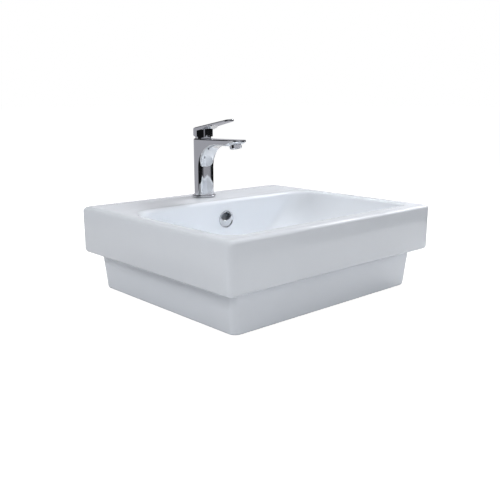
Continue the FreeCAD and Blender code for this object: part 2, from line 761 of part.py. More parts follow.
def mixer_body():
    """Column and spout in one casting, with the cartridge's chamber, waterways and threads in it."""
    body = new_body("mixer_blank")
    plan = ("body_width / 2", "spout_tip_radius", "spout_tip - spout_tip_radius")
    tip_top = "body_top + spout_tip_rise"
    side_outline(body, [
        ("body_width / 2", BODY_BOTTOM),
        ("body_width / 2", "body_top"),
        ("-handle_radius", "body_top"),
        ("-spout_tip", tip_top),
        ("-spout_tip", f"{AERATOR_SEAT} + (spout_tip - spout_reach) * tan(aerator_tilt)"),
        (f"-({NOSE_START})", "spout_underside"),
        ("-column_front", "spout_underside"),
        ("-column_front", BODY_BOTTOM),
    ], "body_width / 2")
    for size, ahead in (("arch_radius", "column_front"), ("nose_radius", NOSE_START)):
        crease = value(f"-({ahead})"), value("spout_underside")
        fillet(body, size, lambda edge: abs(edge.CenterOfMass.y - crease[0]) < 0.01
               and abs(edge.CenterOfMass.z - crease[1]) < 0.01)
    trim_plan(body, plan)
    fillet(body, "belly_radius", below_spout)
    shank = cylinder("mixer_shank", "shank_radius", f"shank_depth + {BODY_BOTTOM}", z="-shank_depth")
    chamber_top = "body_top + pivot_rise"
    inlet_top = f"{CARTRIDGE_BOTTOM} + shank_depth"
    spaces = [
        cylinder("cartridge_bore", "cartridge_radius + slip_fit", f"{chamber_top} - ({CARTRIDGE_BOTTOM})",
                 z=CARTRIDGE_BOTTOM),
        cylinder("nut_bore", "nut_radius + running_fit", f"{chamber_top} - ({SHOULDER})", z=SHOULDER),
        cylinder("spout_waterway", "waterway_radius", "spout_reach", y="-spout_reach", z="waterway_height",
                 along="Y"),
        tilt(cylinder("aerator_bore", "aerator_thread_radius + running_fit",
                      "aerator_drop + aerator_thread_length - aerator_washer_thickness",
                      y="-(spout_reach + aerator_drop * sin(aerator_tilt))",
                      z=f"{AERATOR_SEAT} - aerator_drop * cos(aerator_tilt)")),
    ]
    for side, sign in (("right", ""), ("left", "-")):
        spaces.append(cylinder(f"{side}_inlet", "waterway_radius", inlet_top, x=f"{sign}inlet_spacing / 2",
                               z="-shank_depth"))
        spaces.append(cylinder(f"{side}_inlet_thread", "inlet_radius", "inlet_thread_length",
                               x=f"{sign}inlet_spacing / 2", z="-shank_depth"))
    for side, sign in (("rear", ""), ("front", "-")):
        spaces.append(cylinder(f"{side}_stud_thread", "stud_radius + running_fit", "stud_thread_depth",
                               y=f"{sign}stud_spacing / 2", z="-shank_depth"))
    casting = fuse("mixer_casting", [body, shank])
    on_deck(cut("mixer_body", casting, fuse("mixer_spaces", spaces)), "mixer_body")


def base_ring():
    """The rosette at the column's foot, and the gasket under it."""
    hole = "shank_radius + loose_fit"
    on_deck(turned("base_ring", [
        (hole, "base_gasket_thickness"),
        ("base_ring_radius", "base_gasket_thickness"),
        ("base_ring_radius", f"{BODY_BOTTOM} - body_edge_radius"),
        ("base_ring_radius - body_edge_radius", BODY_BOTTOM),
        (hole, BODY_BOTTOM),
    ]), "base_ring")
    on_deck(ring("base_gasket", "tap_hole_radius + loose_fit", "base_ring_radius - body_edge_radius", "0",
                 "base_gasket_thickness"), "base_gasket")


def horseshoe(label, thickness, top):
    """A washer under the deck, open at one side for the supply pipes, with a hole for each stud."""
    plate = cylinder(f"{label}_plate", "horseshoe_radius", thickness, z=f"-({top} + {thickness})")
    slot = document.addObject("Part::Box", f"{label}_slot")
    bind(slot, "Length", "2 * horseshoe_radius")
    bind(slot, "Width", "horseshoe_slot")
    bind(slot, "Height", f"4 * ({thickness})")
    bind(slot, "Placement.Base.x", "-(inlet_spacing / 2 + inlet_radius)")
    bind(slot, "Placement.Base.y", "-horseshoe_slot / 2")
    bind(slot, "Placement.Base.z", f"-({top} + 2 * ({thickness}))")
    holes = [
        cylinder(f"{label}_{side}_hole", "stud_radius + loose_fit", f"4 * ({thickness})",
                 y=f"{sign}stud_spacing / 2", z=f"-({top} + 2 * ({thickness}))")
        for side, sign in (("rear", ""), ("front", "-"))
    ]
    on_deck(cut(label, plate, fuse(f"{label}_openings", [slot] + holes)), label)


def tap_fixing():
    """The studs, washers and nuts that hold the mixer tap to the deck from below."""
    horseshoe("rubber_horseshoe", "rubber_horseshoe_thickness", "ceramic_wall")
    horseshoe("steel_horseshoe", "steel_horseshoe_thickness", "ceramic_wall + rubber_horseshoe_thickness")
    under = "ceramic_wall + rubber_horseshoe_thickness + steel_horseshoe_thickness"
    studs = []
    nuts = []
    for side, sign in (("rear", ""), ("front", "-")):
        offset = f"{sign}stud_spacing / 2"
        studs.append(cylinder(f"{side}_stud", "stud_radius", "stud_length", y=offset,
                              z="stud_thread_depth - shank_depth - stud_length"))
        blank = document.addObject("Part::Prism", f"{side}_nut_blank")
        blank.Polygon = NUT_SIDES
        bind(blank, "Circumradius", "stud_nut_radius")
        bind(blank, "Height", "stud_nut_height")
        bind(blank, "Placement.Base.y", offset)
        bind(blank, "Placement.Base.z", f"-({under} + stud_nut_height)")
        hole = cylinder(f"{side}_nut_thread", "stud_radius + running_fit", "3 * stud_nut_height", y=offset,
                        z=f"-({under} + 2 * stud_nut_height)")
        nuts.append(cut(f"{side}_nut", blank, hole))
    on_deck(fuse("fixing_studs", studs), "fixing_studs")
    on_deck(fuse("stud_nuts", nuts), "stud_nuts")


def aerator():
    """The screwed housing at the spout's end, the insert that mixes in air, and its washer."""
    foot = "-aerator_drop"
    thread_top = "aerator_thread_length - aerator_washer_thickness - aerator_wall"
    bore = "aerator_thread_radius - aerator_wall"
    housing = turned("aerator_housing", [
        (f"{bore} - aerator_wall", foot),
        ("aerator_radius - aerator_wall / 2", foot),
        ("aerator_radius", f"{foot} + aerator_wall / 2"),
        ("aerator_radius", "-slide_gap"),
        ("aerator_thread_radius", "-slide_gap"),
        ("aerator_thread_radius", thread_top),
        (bore, thread_top),
        (bore, f"{foot} + aerator_wall"),
        (f"{bore} - aerator_wall", f"{foot} + aerator_wall"),
    ])
    insert = turned("aerator_insert", [
        ("0", f"{foot} + aerator_wall"),
        (f"{bore} - slip_fit", f"{foot} + aerator_wall"),
        (f"{bore} - slip_fit", thread_top),
        (f"{bore} - aerator_wall", thread_top),
        (f"{bore} - aerator_wall", f"{thread_top} - aerator_wall"),
        ("0", f"{thread_top} - aerator_wall"),
    ])
    washer = ring("aerator_washer", f"{bore} - aerator_wall", "aerator_thread_radius - slip_fit", thread_top,
                  f"{thread_top} + aerator_washer_thickness")
    for piece, label in ((housing, "aerator_housing"), (insert, "aerator_insert"), (washer, "aerator_washer")):
        place(tilt(piece), label, f"{TAP_Y} - spout_reach", f"basin_height + {AERATOR_SEAT}")


def cartridge():
    """Housing, base with ports, ceramic discs, rotor and pin, and the nut and cover that close it."""
    bore = "cartridge_radius - cartridge_wall"
    neck_bore = "neck_radius - neck_wall"
    top = f"{PIVOT} + neck_top"
    ledge = f"{FIXED_DISC_BOTTOM} + fixed_disc_thickness"
    on_deck(turned("cartridge_housing", [
        (bore, CARTRIDGE_BOTTOM),
        ("cartridge_radius", CARTRIDGE_BOTTOM),
        ("cartridge_radius", SHOULDER),
        ("neck_radius", SHOULDER),
        ("neck_radius", top),
        ("neck_opening_radius", top),
        ("neck_opening_radius", f"{top} - neck_lip"),
        (neck_bore, f"{top} - neck_lip"),
        (neck_bore, ledge),
        (bore, ledge),
    ]), "cartridge_housing")
    ports = [
        cylinder(f"base_{side}_port", "waterway_radius", "2 * base_thickness", x=f"{sign}inlet_spacing / 2",
                 z=f"{CARTRIDGE_BOTTOM} - base_thickness / 2")
        for side, sign in (("right", ""), ("left", "-"))
    ]
    blank = cylinder("cartridge_base_blank", f"{bore} - slip_fit", "base_thickness", z=CARTRIDGE_BOTTOM)
    on_deck(cut("cartridge_base", blank, fuse("base_ports", ports)), "cartridge_base")
    plate = cylinder("fixed_disc_blank", f"{bore} - slip_fit", "fixed_disc_thickness", z=FIXED_DISC_BOTTOM)
    disc_ports = [
        cylinder(f"disc_{side}_port", "waterway_radius - cartridge_wall / 2", "3 * fixed_disc_thickness",
                 x=f"{sign}inlet_spacing / 2", z=f"{FIXED_DISC_BOTTOM} - fixed_disc_thickness")
        for side, sign in (("right", ""), ("left", "-"))
    ]
    on_deck(cut("fixed_disc", plate, fuse("disc_ports", disc_ports)), "fixed_disc")
    slider = cylinder("moving_disc_blank", "moving_disc_radius", "moving_disc_thickness", z=MOVING_DISC_BOTTOM)
    socket_foot = f"{PIVOT} - tongue_length - tongue_play"
    socket = cylinder("tongue_socket", "tongue_radius + tongue_play", "moving_disc_thickness", z=socket_foot)
    on_deck(cut("moving_disc", slider, socket), "moving_disc")
    drum = cylinder("rotor_blank", f"{neck_bore} - slip_fit", "rotor_height", z=ROTOR_BOTTOM)
    slot = box("rotor_slot", "rotor_slot_width", "rotor_slot_length", "3 * rotor_height",
               y="-rotor_slot_length / 2", z=f"{ROTOR_BOTTOM} - rotor_height")
    pin_half = f"{neck_bore} - slip_fit - loose_fit"
    pin_hole = cylinder("rotor_pin_hole", "pin_radius + running_fit / 2", "4 * neck_radius",
                        x="-2 * neck_radius", z=PIVOT, along="X")
    on_deck(cut("cartridge_rotor", drum, fuse("rotor_openings", [slot, pin_hole])), "cartridge_rotor")
    bar_on_deck("lever_pin", "pin_radius", f"2 * ({pin_half})", "X", x=f"-({pin_half})", z=PIVOT)
    on_deck(ring("cartridge_nut", "neck_radius + slip_fit", "nut_radius", SHOULDER, "body_top"),
            "cartridge_nut")
    zone = sphere("cover_zone", "cover_radius", PIVOT)
    bind(zone, "Angle1", "-asin(pivot_rise / cover_radius)")
    bind(zone, "Angle2", "asin(cover_top / cover_radius)")
    on_deck(cut("cartridge_cover", zone, sphere("cover_space", "cover_radius - cover_wall", PIVOT)),
            "cartridge_cover")


def cartridge_stem():
    """The square spindle on its pin, with the round tongue that pushes the moving disc."""
    half = "stem_width / 2"
    spindle = box("stem_bar", "stem_width", "stem_width", f"stem_top + {half}", y=f"-{half}",
                  z=f"{PIVOT} - {half}")
    tongue = cylinder("stem_tongue", "tongue_radius", "tongue_length", z=f"{PIVOT} - tongue_length")
    hole = cylinder("stem_pin_hole", "pin_radius + running_fit", "4 * stem_width", x="-2 * stem_width", z=PIVOT,
                    along="X")
    on_deck(cut("cartridge_stem", fuse("stem_solid", [spindle, tongue]), hole), "cartridge_stem")


def lever_handle():
    """Round cap and rising lever in one piece, hollow over the cover, with a socket for the spindle."""
    bottom = "body_top + handle_gap"
    rear_bottom = f"{PIVOT} + (handle_radius * sin(lever_lift) - pivot_rise + loose_fit) / cos(lever_lift)"
    rear_top = f"{PIVOT} + handle_rear_top"
    tip_top = f"{PIVOT} + lever_tip_top"
    front_top = f"{rear_top} + (lever_tip_top - handle_rear_top) * 2 * handle_radius / (lever_reach + handle_radius)"
    block = side_outline(new_body("handle_block"), [
        ("handle_radius", rear_bottom),
        ("handle_radius", rear_top),
        ("-handle_radius", front_top),
        ("-handle_radius", bottom),
        ("0", bottom),
    ], "handle_radius")
    cap = common("handle_cap", block, cylinder("handle_round", "handle_radius", "2 * body_top"))
    plan = ("handle_radius", "lever_tip_radius", "lever_reach - lever_tip_radius")
    lever = side_outline(new_body("handle_lever"), [
        ("handle_radius", f"{rear_top} - lever_tip_thickness"),
        ("handle_radius", rear_top),
        ("-lever_reach", tip_top),
        ("-lever_reach", f"{tip_top} - lever_tip_thickness"),
        ("-(handle_radius + lever_neck)", f"{PIVOT} + lever_neck_underside"),
        ("-handle_radius", f"{PIVOT} + lever_root_underside"),
        ("0", f"{rear_top} - lever_tip_thickness"),
    ], "handle_radius")
    trim_plan(lever, plan)
    blank = fuse("handle_blank", [cap, lever])
    space = cut("handle_space", sphere("handle_hollow", "cover_radius + swing_gap", PIVOT),
                cylinder("handle_boss", "handle_boss_radius", "stem_top",
                         z=f"{PIVOT} + handle_boss_bottom"))
    socket_width = "stem_width + 2 * slip_fit"
    socket = box("stem_socket", socket_width, socket_width, "stem_top + slip_fit", y=f"-({socket_width}) / 2",
                 z=PIVOT)
    screw_way = cylinder("set_screw_way", "set_screw_radius + slip_fit", "2 * handle_radius",
                         z=f"{PIVOT} + set_screw_height", along="Y")
    hollow = fuse("handle_openings", [space, socket, screw_way])
    on_deck(cut("lever_handle", blank, hollow), "lever_handle")
    height = f"{PIVOT} + set_screw_height"
    bar_on_deck("set_screw", "set_screw_radius", "set_screw_length", "Y", y="stem_width / 2 + running_fit",
                z=height)
    bar_on_deck("index_plug", "set_screw_radius + slip_fit - running_fit", "index_plug_length", "Y",
                y="handle_radius - index_plug_length", z=height)


def check():
    """Stops if anything in the document failed or any piece has no sound shape."""
    document.recompute()
    for item in document.Objects:
        if {"Invalid", "Error"} & set(item.State):
            raise RuntimeError(f"{item.Label}: {item.State}")
    for piece in pieces:
        if piece.Shape.isNull() or not piece.Shape.isValid() or piece.Shape.Volume <= 0:
            raise RuntimeError(f"{piece.Label}: its shape is not sound")


def main():
    basin()
    overflow_ring()
    waste_body()
    waste_seals_and_nut()
    click_mechanism()
    plug()
    mixer_body()
    base_ring()
    tap_fixing()
    aerator()
    cartridge()
    cartridge_stem()
    lever_handle()
    check()
    os.makedirs("parts", exist_ok=True)
    for piece in pieces:
        piece.Shape.exportStep(f"parts/{piece.Label}.step")
        print(f"{piece.Label}: {piece.Shape.Volume / 1000:.2f} cm3, {len(piece.Shape.Solids)} solids")


main()
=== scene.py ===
import json
import math

import bmesh
import bpy
import numpy as np
from mathutils import Matrix, Vector


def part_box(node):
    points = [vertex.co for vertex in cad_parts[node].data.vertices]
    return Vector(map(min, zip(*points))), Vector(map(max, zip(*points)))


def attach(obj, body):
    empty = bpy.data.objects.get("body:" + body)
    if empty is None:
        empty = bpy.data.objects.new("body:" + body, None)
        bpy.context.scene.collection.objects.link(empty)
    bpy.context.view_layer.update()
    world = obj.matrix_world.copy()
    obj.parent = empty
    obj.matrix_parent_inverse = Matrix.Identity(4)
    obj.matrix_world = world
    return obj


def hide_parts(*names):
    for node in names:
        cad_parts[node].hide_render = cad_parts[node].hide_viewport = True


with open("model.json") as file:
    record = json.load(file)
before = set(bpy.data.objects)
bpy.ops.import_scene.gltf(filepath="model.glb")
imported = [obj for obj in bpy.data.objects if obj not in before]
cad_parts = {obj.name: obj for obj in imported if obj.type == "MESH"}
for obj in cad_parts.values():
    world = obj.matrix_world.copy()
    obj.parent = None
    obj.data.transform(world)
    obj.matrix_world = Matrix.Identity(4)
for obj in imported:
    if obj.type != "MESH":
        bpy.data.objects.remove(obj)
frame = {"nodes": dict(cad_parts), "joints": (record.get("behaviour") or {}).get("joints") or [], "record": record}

bl_info = {
    "name": "Countertop basin",
    "version": (1, 0, 0),
    "blender": (4, 5, 0),
    "location": "View3D > Sidebar > Basin",
    "description": "Glazed basin with a chrome mixer tap, dressed on its packed frame",
    "category": "Object",
}

MM = 0.001
QUARTER = math.pi / 2
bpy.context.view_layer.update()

# Steps of the surfaces
SIDE_STEPS = 24
CORNER_STEPS = 10
EDGE_STEPS = 8
WALL_STEPS = 48
DECK_STEPS = 4
TURN_STEPS = 128
TURN = np.arange(TURN_STEPS) / TURN_STEPS * 4 * QUARTER
WELD = 1e-6


def span(node):
    """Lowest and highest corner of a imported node."""
    low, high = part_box(node)
    return Vector(low), Vector(high)


BASIN_LOW, BASIN_HIGH = span("basin")
RING_LOW, RING_HIGH = span("base_ring")
LINER_LOW, LINER_HIGH = span("overflow_ring")
PLUG_LOW, PLUG_HIGH = span("plug_cap")
AERATOR_LOW, AERATOR_HIGH = span("aerator_housing")
DECK = BASIN_HIGH.z
TAP_Y = (RING_LOW.y + RING_HIGH.y) / 2
LINER_Z = (LINER_LOW.z + LINER_HIGH.z) / 2
PIVOT = Vector(next(joint["pos_m"] for joint in frame["joints"] if joint["name"] == "lever_lift"))


def number(description, value, **kind):
    """A number, with its unit where one fits."""
    return dict(description=description, default=value, **kind)


def length(description, metres):
    """A length given in metres."""
    return number(description, metres, precision=4, unit="LENGTH")


def mm(description, value):
    """A length given in millimetres."""
    return length(description, value * MM)


def three_mm(description, values):
    """Lengths at the sides, the front and the back, given in millimetres."""
    return dict(length(description, tuple(value * MM for value in values)), size=3)


def angle(description, degrees):
    """An angle given in degrees."""
    return number(description, math.radians(degrees), unit="ROTATION")


def wattage(panel, watts):
    """The power of one of the stage's panels."""
    return number(f"Power of the {panel}", watts, unit="POWER")


def colour(description, value):
    """A colour from black to white."""
    return number(description, value, size=3, min=0, max=1, subtype="COLOR")


def named(group):
    """Makes each row of a group a property, with its identifier in plain words as its name."""
    for key, row in group.__annotations__.items():
        kind = bpy.props.FloatVectorProperty if "size" in row else bpy.props.FloatProperty
        group.__annotations__[key] = kind(name=key.replace("_", " ").capitalize(), **row)
    return group


@named
class CeramicSizes(bpy.types.PropertyGroup):
    """Sizes of the glazed basin."""

    width: length("Rim from side to side", BASIN_HIGH.x - BASIN_LOW.x)
    depth: length("Rim from front to back", BASIN_HIGH.y - BASIN_LOW.y)
    height: length("Foot of the skirt to the deck", DECK)
    skirt_height: mm("Foot to the rim's underside", 79)
    skirt_insets: three_mm("Rim to the skirt's top at the sides, front and back", (28.5, 23.5, 18.5))
    skirt_draft: angle("Lean of the skirt's walls", 4.5)
    skirt_corner: mm("Radius of the skirt's upright corners", 14)
    skirt_foot: mm("Rounding of the skirt's foot", 5)
    skirt_fillet: mm("Hollow rounding between rim and skirt", 3)
    rim_corner: mm("Radius of the rim's upright corners", 10)
    rim_top: mm("Rounding of the rim's top edge", 8)
    rim_side: mm("Reach of the top edge's softer rounding at the sides", 14)
    rim_bottom: mm("Rounding of the rim's bottom edge", 9)
    wall: mm("Thickness of the ceramic", 12)
    bowl_width: mm("Bowl's mouth from side to side", 500)
    front_rim: mm("Bowl's mouth to the rim's front", 35)
    deck_depth: mm("Bowl's mouth to the rim's back", 132)
    bowl_depth: mm("Deck to the bowl's floor", 113)
    bowl_front_corner: mm("Radius of the bowl's front corners", 30)
    bowl_back_corner: mm("Radius of the bowl's back corners", 55)
    bowl_edge: mm("Rounding of the bowl's mouth", 8)
    wall_runs: three_mm("How far the side, front and back walls come in", (150, 85, 35))
    wall_powers: number("Roundness of the side, front and back walls", (1.3, 1.8, 3), size=3)
    floor: mm("Thickness of the bowl's floor", 14)
    waste_hole: mm("Radius of the waste's hole", 22.95)
    waste_recess: mm("Radius of the flange's seat", 35)
    recess_depth: mm("Depth of the flange's seat", 5)
    boss_radius: mm("Radius of the boss under the floor", 46)
    boss_depth: mm("Floor's top to the boss's foot", 34)
    overflow_hole: mm("Radius of the hole behind the overflow's liner", 17)
    duct_half: mm("Half the width of the overflow's way", 14)
    duct_depth: mm("Overflow's way from front to back", 14)
    duct_wall: mm("Thickness of the overflow's back wall", 8)


@named
class TapSizes(bpy.types.PropertyGroup):
    """Sizes of the mixer tap, counted forward from its axis and up from the deck."""

    rear: mm("Radius of the column's back", 21.5)
    foot: length("Deck to the column's foot", RING_HIGH.z - DECK)
    front: mm("Axis to the column's front", 18)
    column_belly: mm("Crown of the column's front", 12.5)
    spout_belly: mm("Crown of the spout's underside", 4)
    nose_belly: mm("Added crown along the nose, up to its top edge", 16)
    belly_power: number("Squareness of the belly's section", 3)
    arch: mm("Radius from the column into the spout", 50)
    underside: mm("Deck to the spout's underside", 118)
    top: mm("Deck to the body's top", 131)
    top_flat: mm("Axis to where the spout's top starts to rise", 22)
    tip_rise: mm("How far the spout's top rises", 2)
    tip: mm("Axis to the spout's tip", 135)
    tip_radius: mm("Radius of the spout's tip in plan", 17)
    nose_start: mm("Axis to where the underside turns up", 97)
    nose_rise: mm("How far the underside turns up", 11)
    edge: mm("Rounding of the body's top edge", 2.8)
    tip_edge: mm("Rounding of the top edge at the spout's tip", 0.8)
    crease: angle("Turn of the belly where it meets the flat side", 80)
    aerator_reach: mm("Axis to the aerator's seat", 110)
    aerator_seat: mm("Deck to the middle of the aerator's seat", 121.43)
    aerator_drop: mm("Seat to the aerator's foot", 8)
    aerator_tilt: angle("Lean of the aerator, its jet forward", 12)
    cap: mm("Radius of the handle's cap", 22)
    cap_bore: mm("Radius of the cap's hollow", 18.5)
    cap_foot: mm("Deck to the cap's foot", 135.5)
    cap_cut: angle("Rise of the cap's foot behind the axis", 11.3)
    lever_rear: mm("Deck to the lever's top at its back", 152)
    lever_top: mm("Deck to the lever's top at its tip", 176)
    lever_reach: mm("Axis to the lever's tip", 99)
    lever_tip: mm("Radius of the lever's tip in plan", 12)
    lever_thick: mm("Thickness of the lever at its tip", 4)
    lever_root: mm("Deck to the lever's underside at the axis", 148)
    lever_neck: mm("Deck to the lever's underside at the cap's front", 153)
    lever_hollow: mm("Depth of the neck below the underside's straight run", 3.5)
    lever_blend: mm("Length of the neck's hollow", 18)
    lever_edge: mm("Rounding of the lever's top edge", 2.0)


@named
class Finishes(bpy.types.PropertyGroup):
    """Colours of the finishes."""

    glaze: colour("White glaze", (0.83, 0.87, 0.925))
    chrome: colour("Polished plating", (0.66, 0.67, 0.69))
    rubber: colour("Seals", (0.03, 0.03, 0.032))
    brass: colour("Machined brass", (0.72, 0.52, 0.24))
    steel: colour("Zinc-plated steel", (0.55, 0.56, 0.58))
    plastic: colour("Moulded grey plastic", (0.42, 0.43, 0.45))
    discs: colour("Lapped ceramic", (0.78, 0.76, 0.72))


@named
class Studio(bpy.types.PropertyGroup):
    """Camera and light."""

    azimuth: angle("Camera's turn to the left of the front", 42.41)
    elevation: angle("Camera's height above the horizon", 12.815)
    distance: mm("Camera to its aim", 1407.2)
    aim_right: mm("Aim to the right of the axis, as the camera sees it", -16.18)
    aim_up: mm("Aim above the floor", 79.2)
    lens: number("Focal length in millimetres on a 36 mm frame", 47.676)
    world: number("Strength of the even light", 0.03)
    backdrop: number("Brightness of the grey backdrop that the plating mirrors", 0.53)
    backdrop_left: number("Brightness of the backdrop's left half", 0.50)
    ahead: number("Brightness of the grey field ahead that the plating mirrors", 0.42)
    before: number("Brightness of the higher grey field before the object", 0.6)
    beside: number("Brightness of the grey field on the object's right", 0.4)
    overhead: wattage("overhead panel", 2.7)
    left_low: wattage("low panel on the left", 1.2)
    left_high: wattage("high panel on the left", 14.9)
    back: wattage("panel behind", 19.5)
    front_left: wattage("panel beside the camera", 9.2)
    front_right: wattage("panel on the front right", 7.2)
    front_high: wattage("high panel in front", 5.6)
    front_top: wattage("panel above the front", 2.9)
    right_high: wattage("small high panel on the right", 23.0)
    mirrored: wattage("overhead panel that only the gloss shows", 8.0)
    glint: wattage("small panel that only the gloss shows", 6.0)
    floor: colour("Pale floor", (0.3, 0.3, 0.3))
    floor_glow: number("Light of the floor's own that keeps it pale", 1.0)
    table: colour("Pale top that the object stands on", (0.65, 0.65, 0.66))


# Grid surfaces


def grid_faces(shape, close_rows, close_columns, windows):
    """Quads of a grid of points, row by row: corner (r, c), (r + 1, c), (r + 1, c + 1), (r, c + 1).
    A closed direction joins its last line to its first; a window leaves a block of quads open."""
    rows, columns = shape
    r = np.arange(rows if close_rows else rows - 1)[:, None]
    c = np.arange(columns if close_columns else columns - 1)[None, :]
    below, beside = (r + 1) % rows, (c + 1) % columns
    corners = (r * columns + c, below * columns + c, below * columns + beside, r * columns + beside)
    quads = np.stack(np.broadcast_arrays(*corners), axis=-1)
    kept = np.ones(quads.shape[:2], dtype=bool)
    for top, bottom, left, right in windows:
        kept[top:bottom, left:right] = False
    return quads[kept]


class Sheet:
    """A grid of points with its closed directions and the windows left open in it."""

    def __init__(self, points, close_rows=False, close_columns=False, windows=()):
        self.points = points
        self.faces = grid_faces(points.shape[:2], close_rows, close_columns, windows)


def add_object(name, data):
    """A new object in the scene."""
    made = bpy.data.objects.new(name, data)
    bpy.context.scene.collection.objects.link(made)
    return made


def add_piece(name, sheets, body, slot, replaced, sharp=30):
    """One closed, smooth mesh of all the sheets, welded where they meet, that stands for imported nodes."""
    starts = np.cumsum([0] + [sheet.points.shape[0] * sheet.points.shape[1] for sheet in sheets])
    points = np.concatenate([sheet.points.reshape(-1, 3) for sheet in sheets])
    faces = np.concatenate([sheet.faces + start for sheet, start in zip(sheets, starts)])
    mesh = bpy.data.meshes.new(name)
    mesh.from_pydata(points.tolist(), [], faces.tolist())
    shell = bmesh.new()
    shell.from_mesh(mesh)
    bmesh.ops.remove_doubles(shell, verts=shell.verts, dist=WELD)
    bmesh.ops.dissolve_degenerate(shell, edges=shell.edges, dist=WELD)
    bmesh.ops.recalc_face_normals(shell, faces=shell.faces)
    shell.to_mesh(mesh)
    shell.free()
    mesh.polygons.foreach_set("use_smooth", np.ones(len(mesh.polygons), dtype=bool))
    mesh.set_sharp_from_angle(angle=math.radians(sharp))
    mesh.materials.append(finish_of(slot))
    piece = add_object(name, mesh)
    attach(piece, body)
    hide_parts(*replaced)


def rounded_loops(half_width, front, back, front_corner, back_corner, height):
    """Rounded rectangles, one loop a row, counter-clockwise from the front left: straight sides
    p = a + (b - a) t, and quarter circles p = c + r (cos w, sin w) at the corners."""
    given = np.broadcast_arrays(half_width, front, back, front_corner, back_corner, height)
    w, f, b, rf, rb, z = (np.atleast_1d(values)[:, None] for values in given)
    t = np.arange(SIDE_STEPS) / SIDE_STEPS
    turn = np.arange(CORNER_STEPS) / CORNER_STEPS * QUARTER

    def side(x0, y0, x1, y1):
        """A straight side from one point to another."""
        return x0 + (x1 - x0) * t, y0 + (y1 - y0) * t

    def corner(x, y, r, start):
        """A quarter circle about a point, from a starting angle."""
        return x + r * np.cos(start + turn), y + r * np.sin(start + turn)

    runs = [
        side(rf - w, f, w - rf, f),
        corner(w - rf, f + rf, rf, -QUARTER),
        side(w, f + rf, w, b - rb),
        corner(w - rb, b - rb, rb, 0),
        side(w - rb, b, rb - w, b),
        corner(rb - w, b - rb, rb, QUARTER),
        side(-w, b - rb, -w, f + rf),
        corner(rf - w, f + rf, rf, 2 * QUARTER),
    ]
    x = np.hstack([run[0] for run in runs])
    y = np.hstack([run[1] for run in runs])
    return np.stack([x, y, np.broadcast_to(z, x.shape)], axis=-1)


def rounded_line(corners, radii):
    """A closed line through the corners, each turned into an arc tangent to its two runs: the arc's centre
    lies on the bisector, r / sin(half the angle) from the corner."""
    points = np.array(corners, dtype=float)
    pieces = []
    for index, radius in enumerate(radii):
        here = points[index]
        if radius == 0:
            pieces.append(here[None, :])
            continue
        u, v = points[index - 1] - here, points[(index + 1) % len(points)] - here
        u, v = u / np.linalg.norm(u), v / np.linalg.norm(v)
        half = math.acos(np.clip(u @ v, -1, 1)) / 2
        centre = here + (u + v) / np.linalg.norm(u + v) * radius / math.sin(half)
        first, last = (here + run * radius / math.tan(half) - centre for run in (u, v))
        sweep = math.pi - 2 * half
        t = np.linspace(0, 1, EDGE_STEPS)[:, None]
        arc = (first * np.sin((1 - t) * sweep) + last * np.sin(t * sweep)) / math.sin(sweep)
        pieces.append(centre + arc)
    return np.concatenate(pieces)


def placed(x, y, z, lean=0.0):
    """Puts a surface on an axis through a point; the axis leans back from upright as it rises."""
    def place(across, along, up):
        back = along * math.cos(lean) + up * math.sin(lean)
        high = up * math.cos(lean) - along * math.sin(lean)
        return np.stack([across + x, back + y, high + z], axis=-1)

    return place


def turned(profile, place, close_rows=True):
    """A profile of (radius, height) points carried round an axis: p = (r cos w, r sin w, h)."""
    r, h = profile[:, 0, None], profile[:, 1, None]
    points = place(r * np.cos(TURN), r * np.sin(TURN), np.broadcast_to(h, (len(profile), TURN_STEPS)))
    return Sheet(points, close_rows, True)


def smooth(t):
    """Eases from 0 to 1: t t (3 - 2 t)."""
    return t * t * (3 - 2 * t)


# Ceramic
WASTE_ROWS = 4
SEAT_EDGE = 1 * MM
WAY_SPREAD = 1.5

# Cells left open round the overflow: reach in radii of its hole, then half width and half height in reaches
WINDOW_REACH = 1.45
INNER_WINDOW = (1.7, 1.0)
OUTER_WINDOW = (2.4, 1.3)


def wall_inset(run, power, s):
    """How far a bowl wall has come in at a share s of the depth: run (1 - (1 - s^n)^(1/n))."""
    return run * (1 - (1 - s ** power) ** (1 / power))


def bowl_loops(size, s, growth, lift, top, depth):
    """Loops of the bowl at shares s of the depth, grown outwards, with the mouth's rounding as lift."""
    side, front, back = (wall_inset(run, power, s) for run, power in zip(size.wall_runs, size.wall_powers))
    return rounded_loops(
        size.bowl_width / 2 + growth + lift - side,
        size.front_rim - size.depth / 2 - growth - lift + front,
        size.depth / 2 - size.deck_depth + growth + lift - back,
        size.bowl_front_corner + lift,
        size.bowl_back_corner + lift,
        top - depth * s,
    )


def ring_loops(radius, height):
    """Circles about the waste's axis, as loops with the columns of the rest."""
    return rounded_loops(radius, -np.asarray(radius), radius, radius, radius, height)


def block_loops(size, side_inset, front_inset, back_inset, corner, height):
    """Loops of the rim or the skirt at insets from the rim's widest outline."""
    return rounded_loops(size.width / 2 - np.asarray(side_inset), np.asarray(front_inset) - size.depth / 2,
                         size.depth / 2 - np.asarray(back_inset), corner, corner, height)


def between(first, last, steps):
    """Loops spread evenly between two loops, without the two themselves."""
    t = (np.arange(1, steps) / steps)[:, None, None]
    return first + (last - first) * t


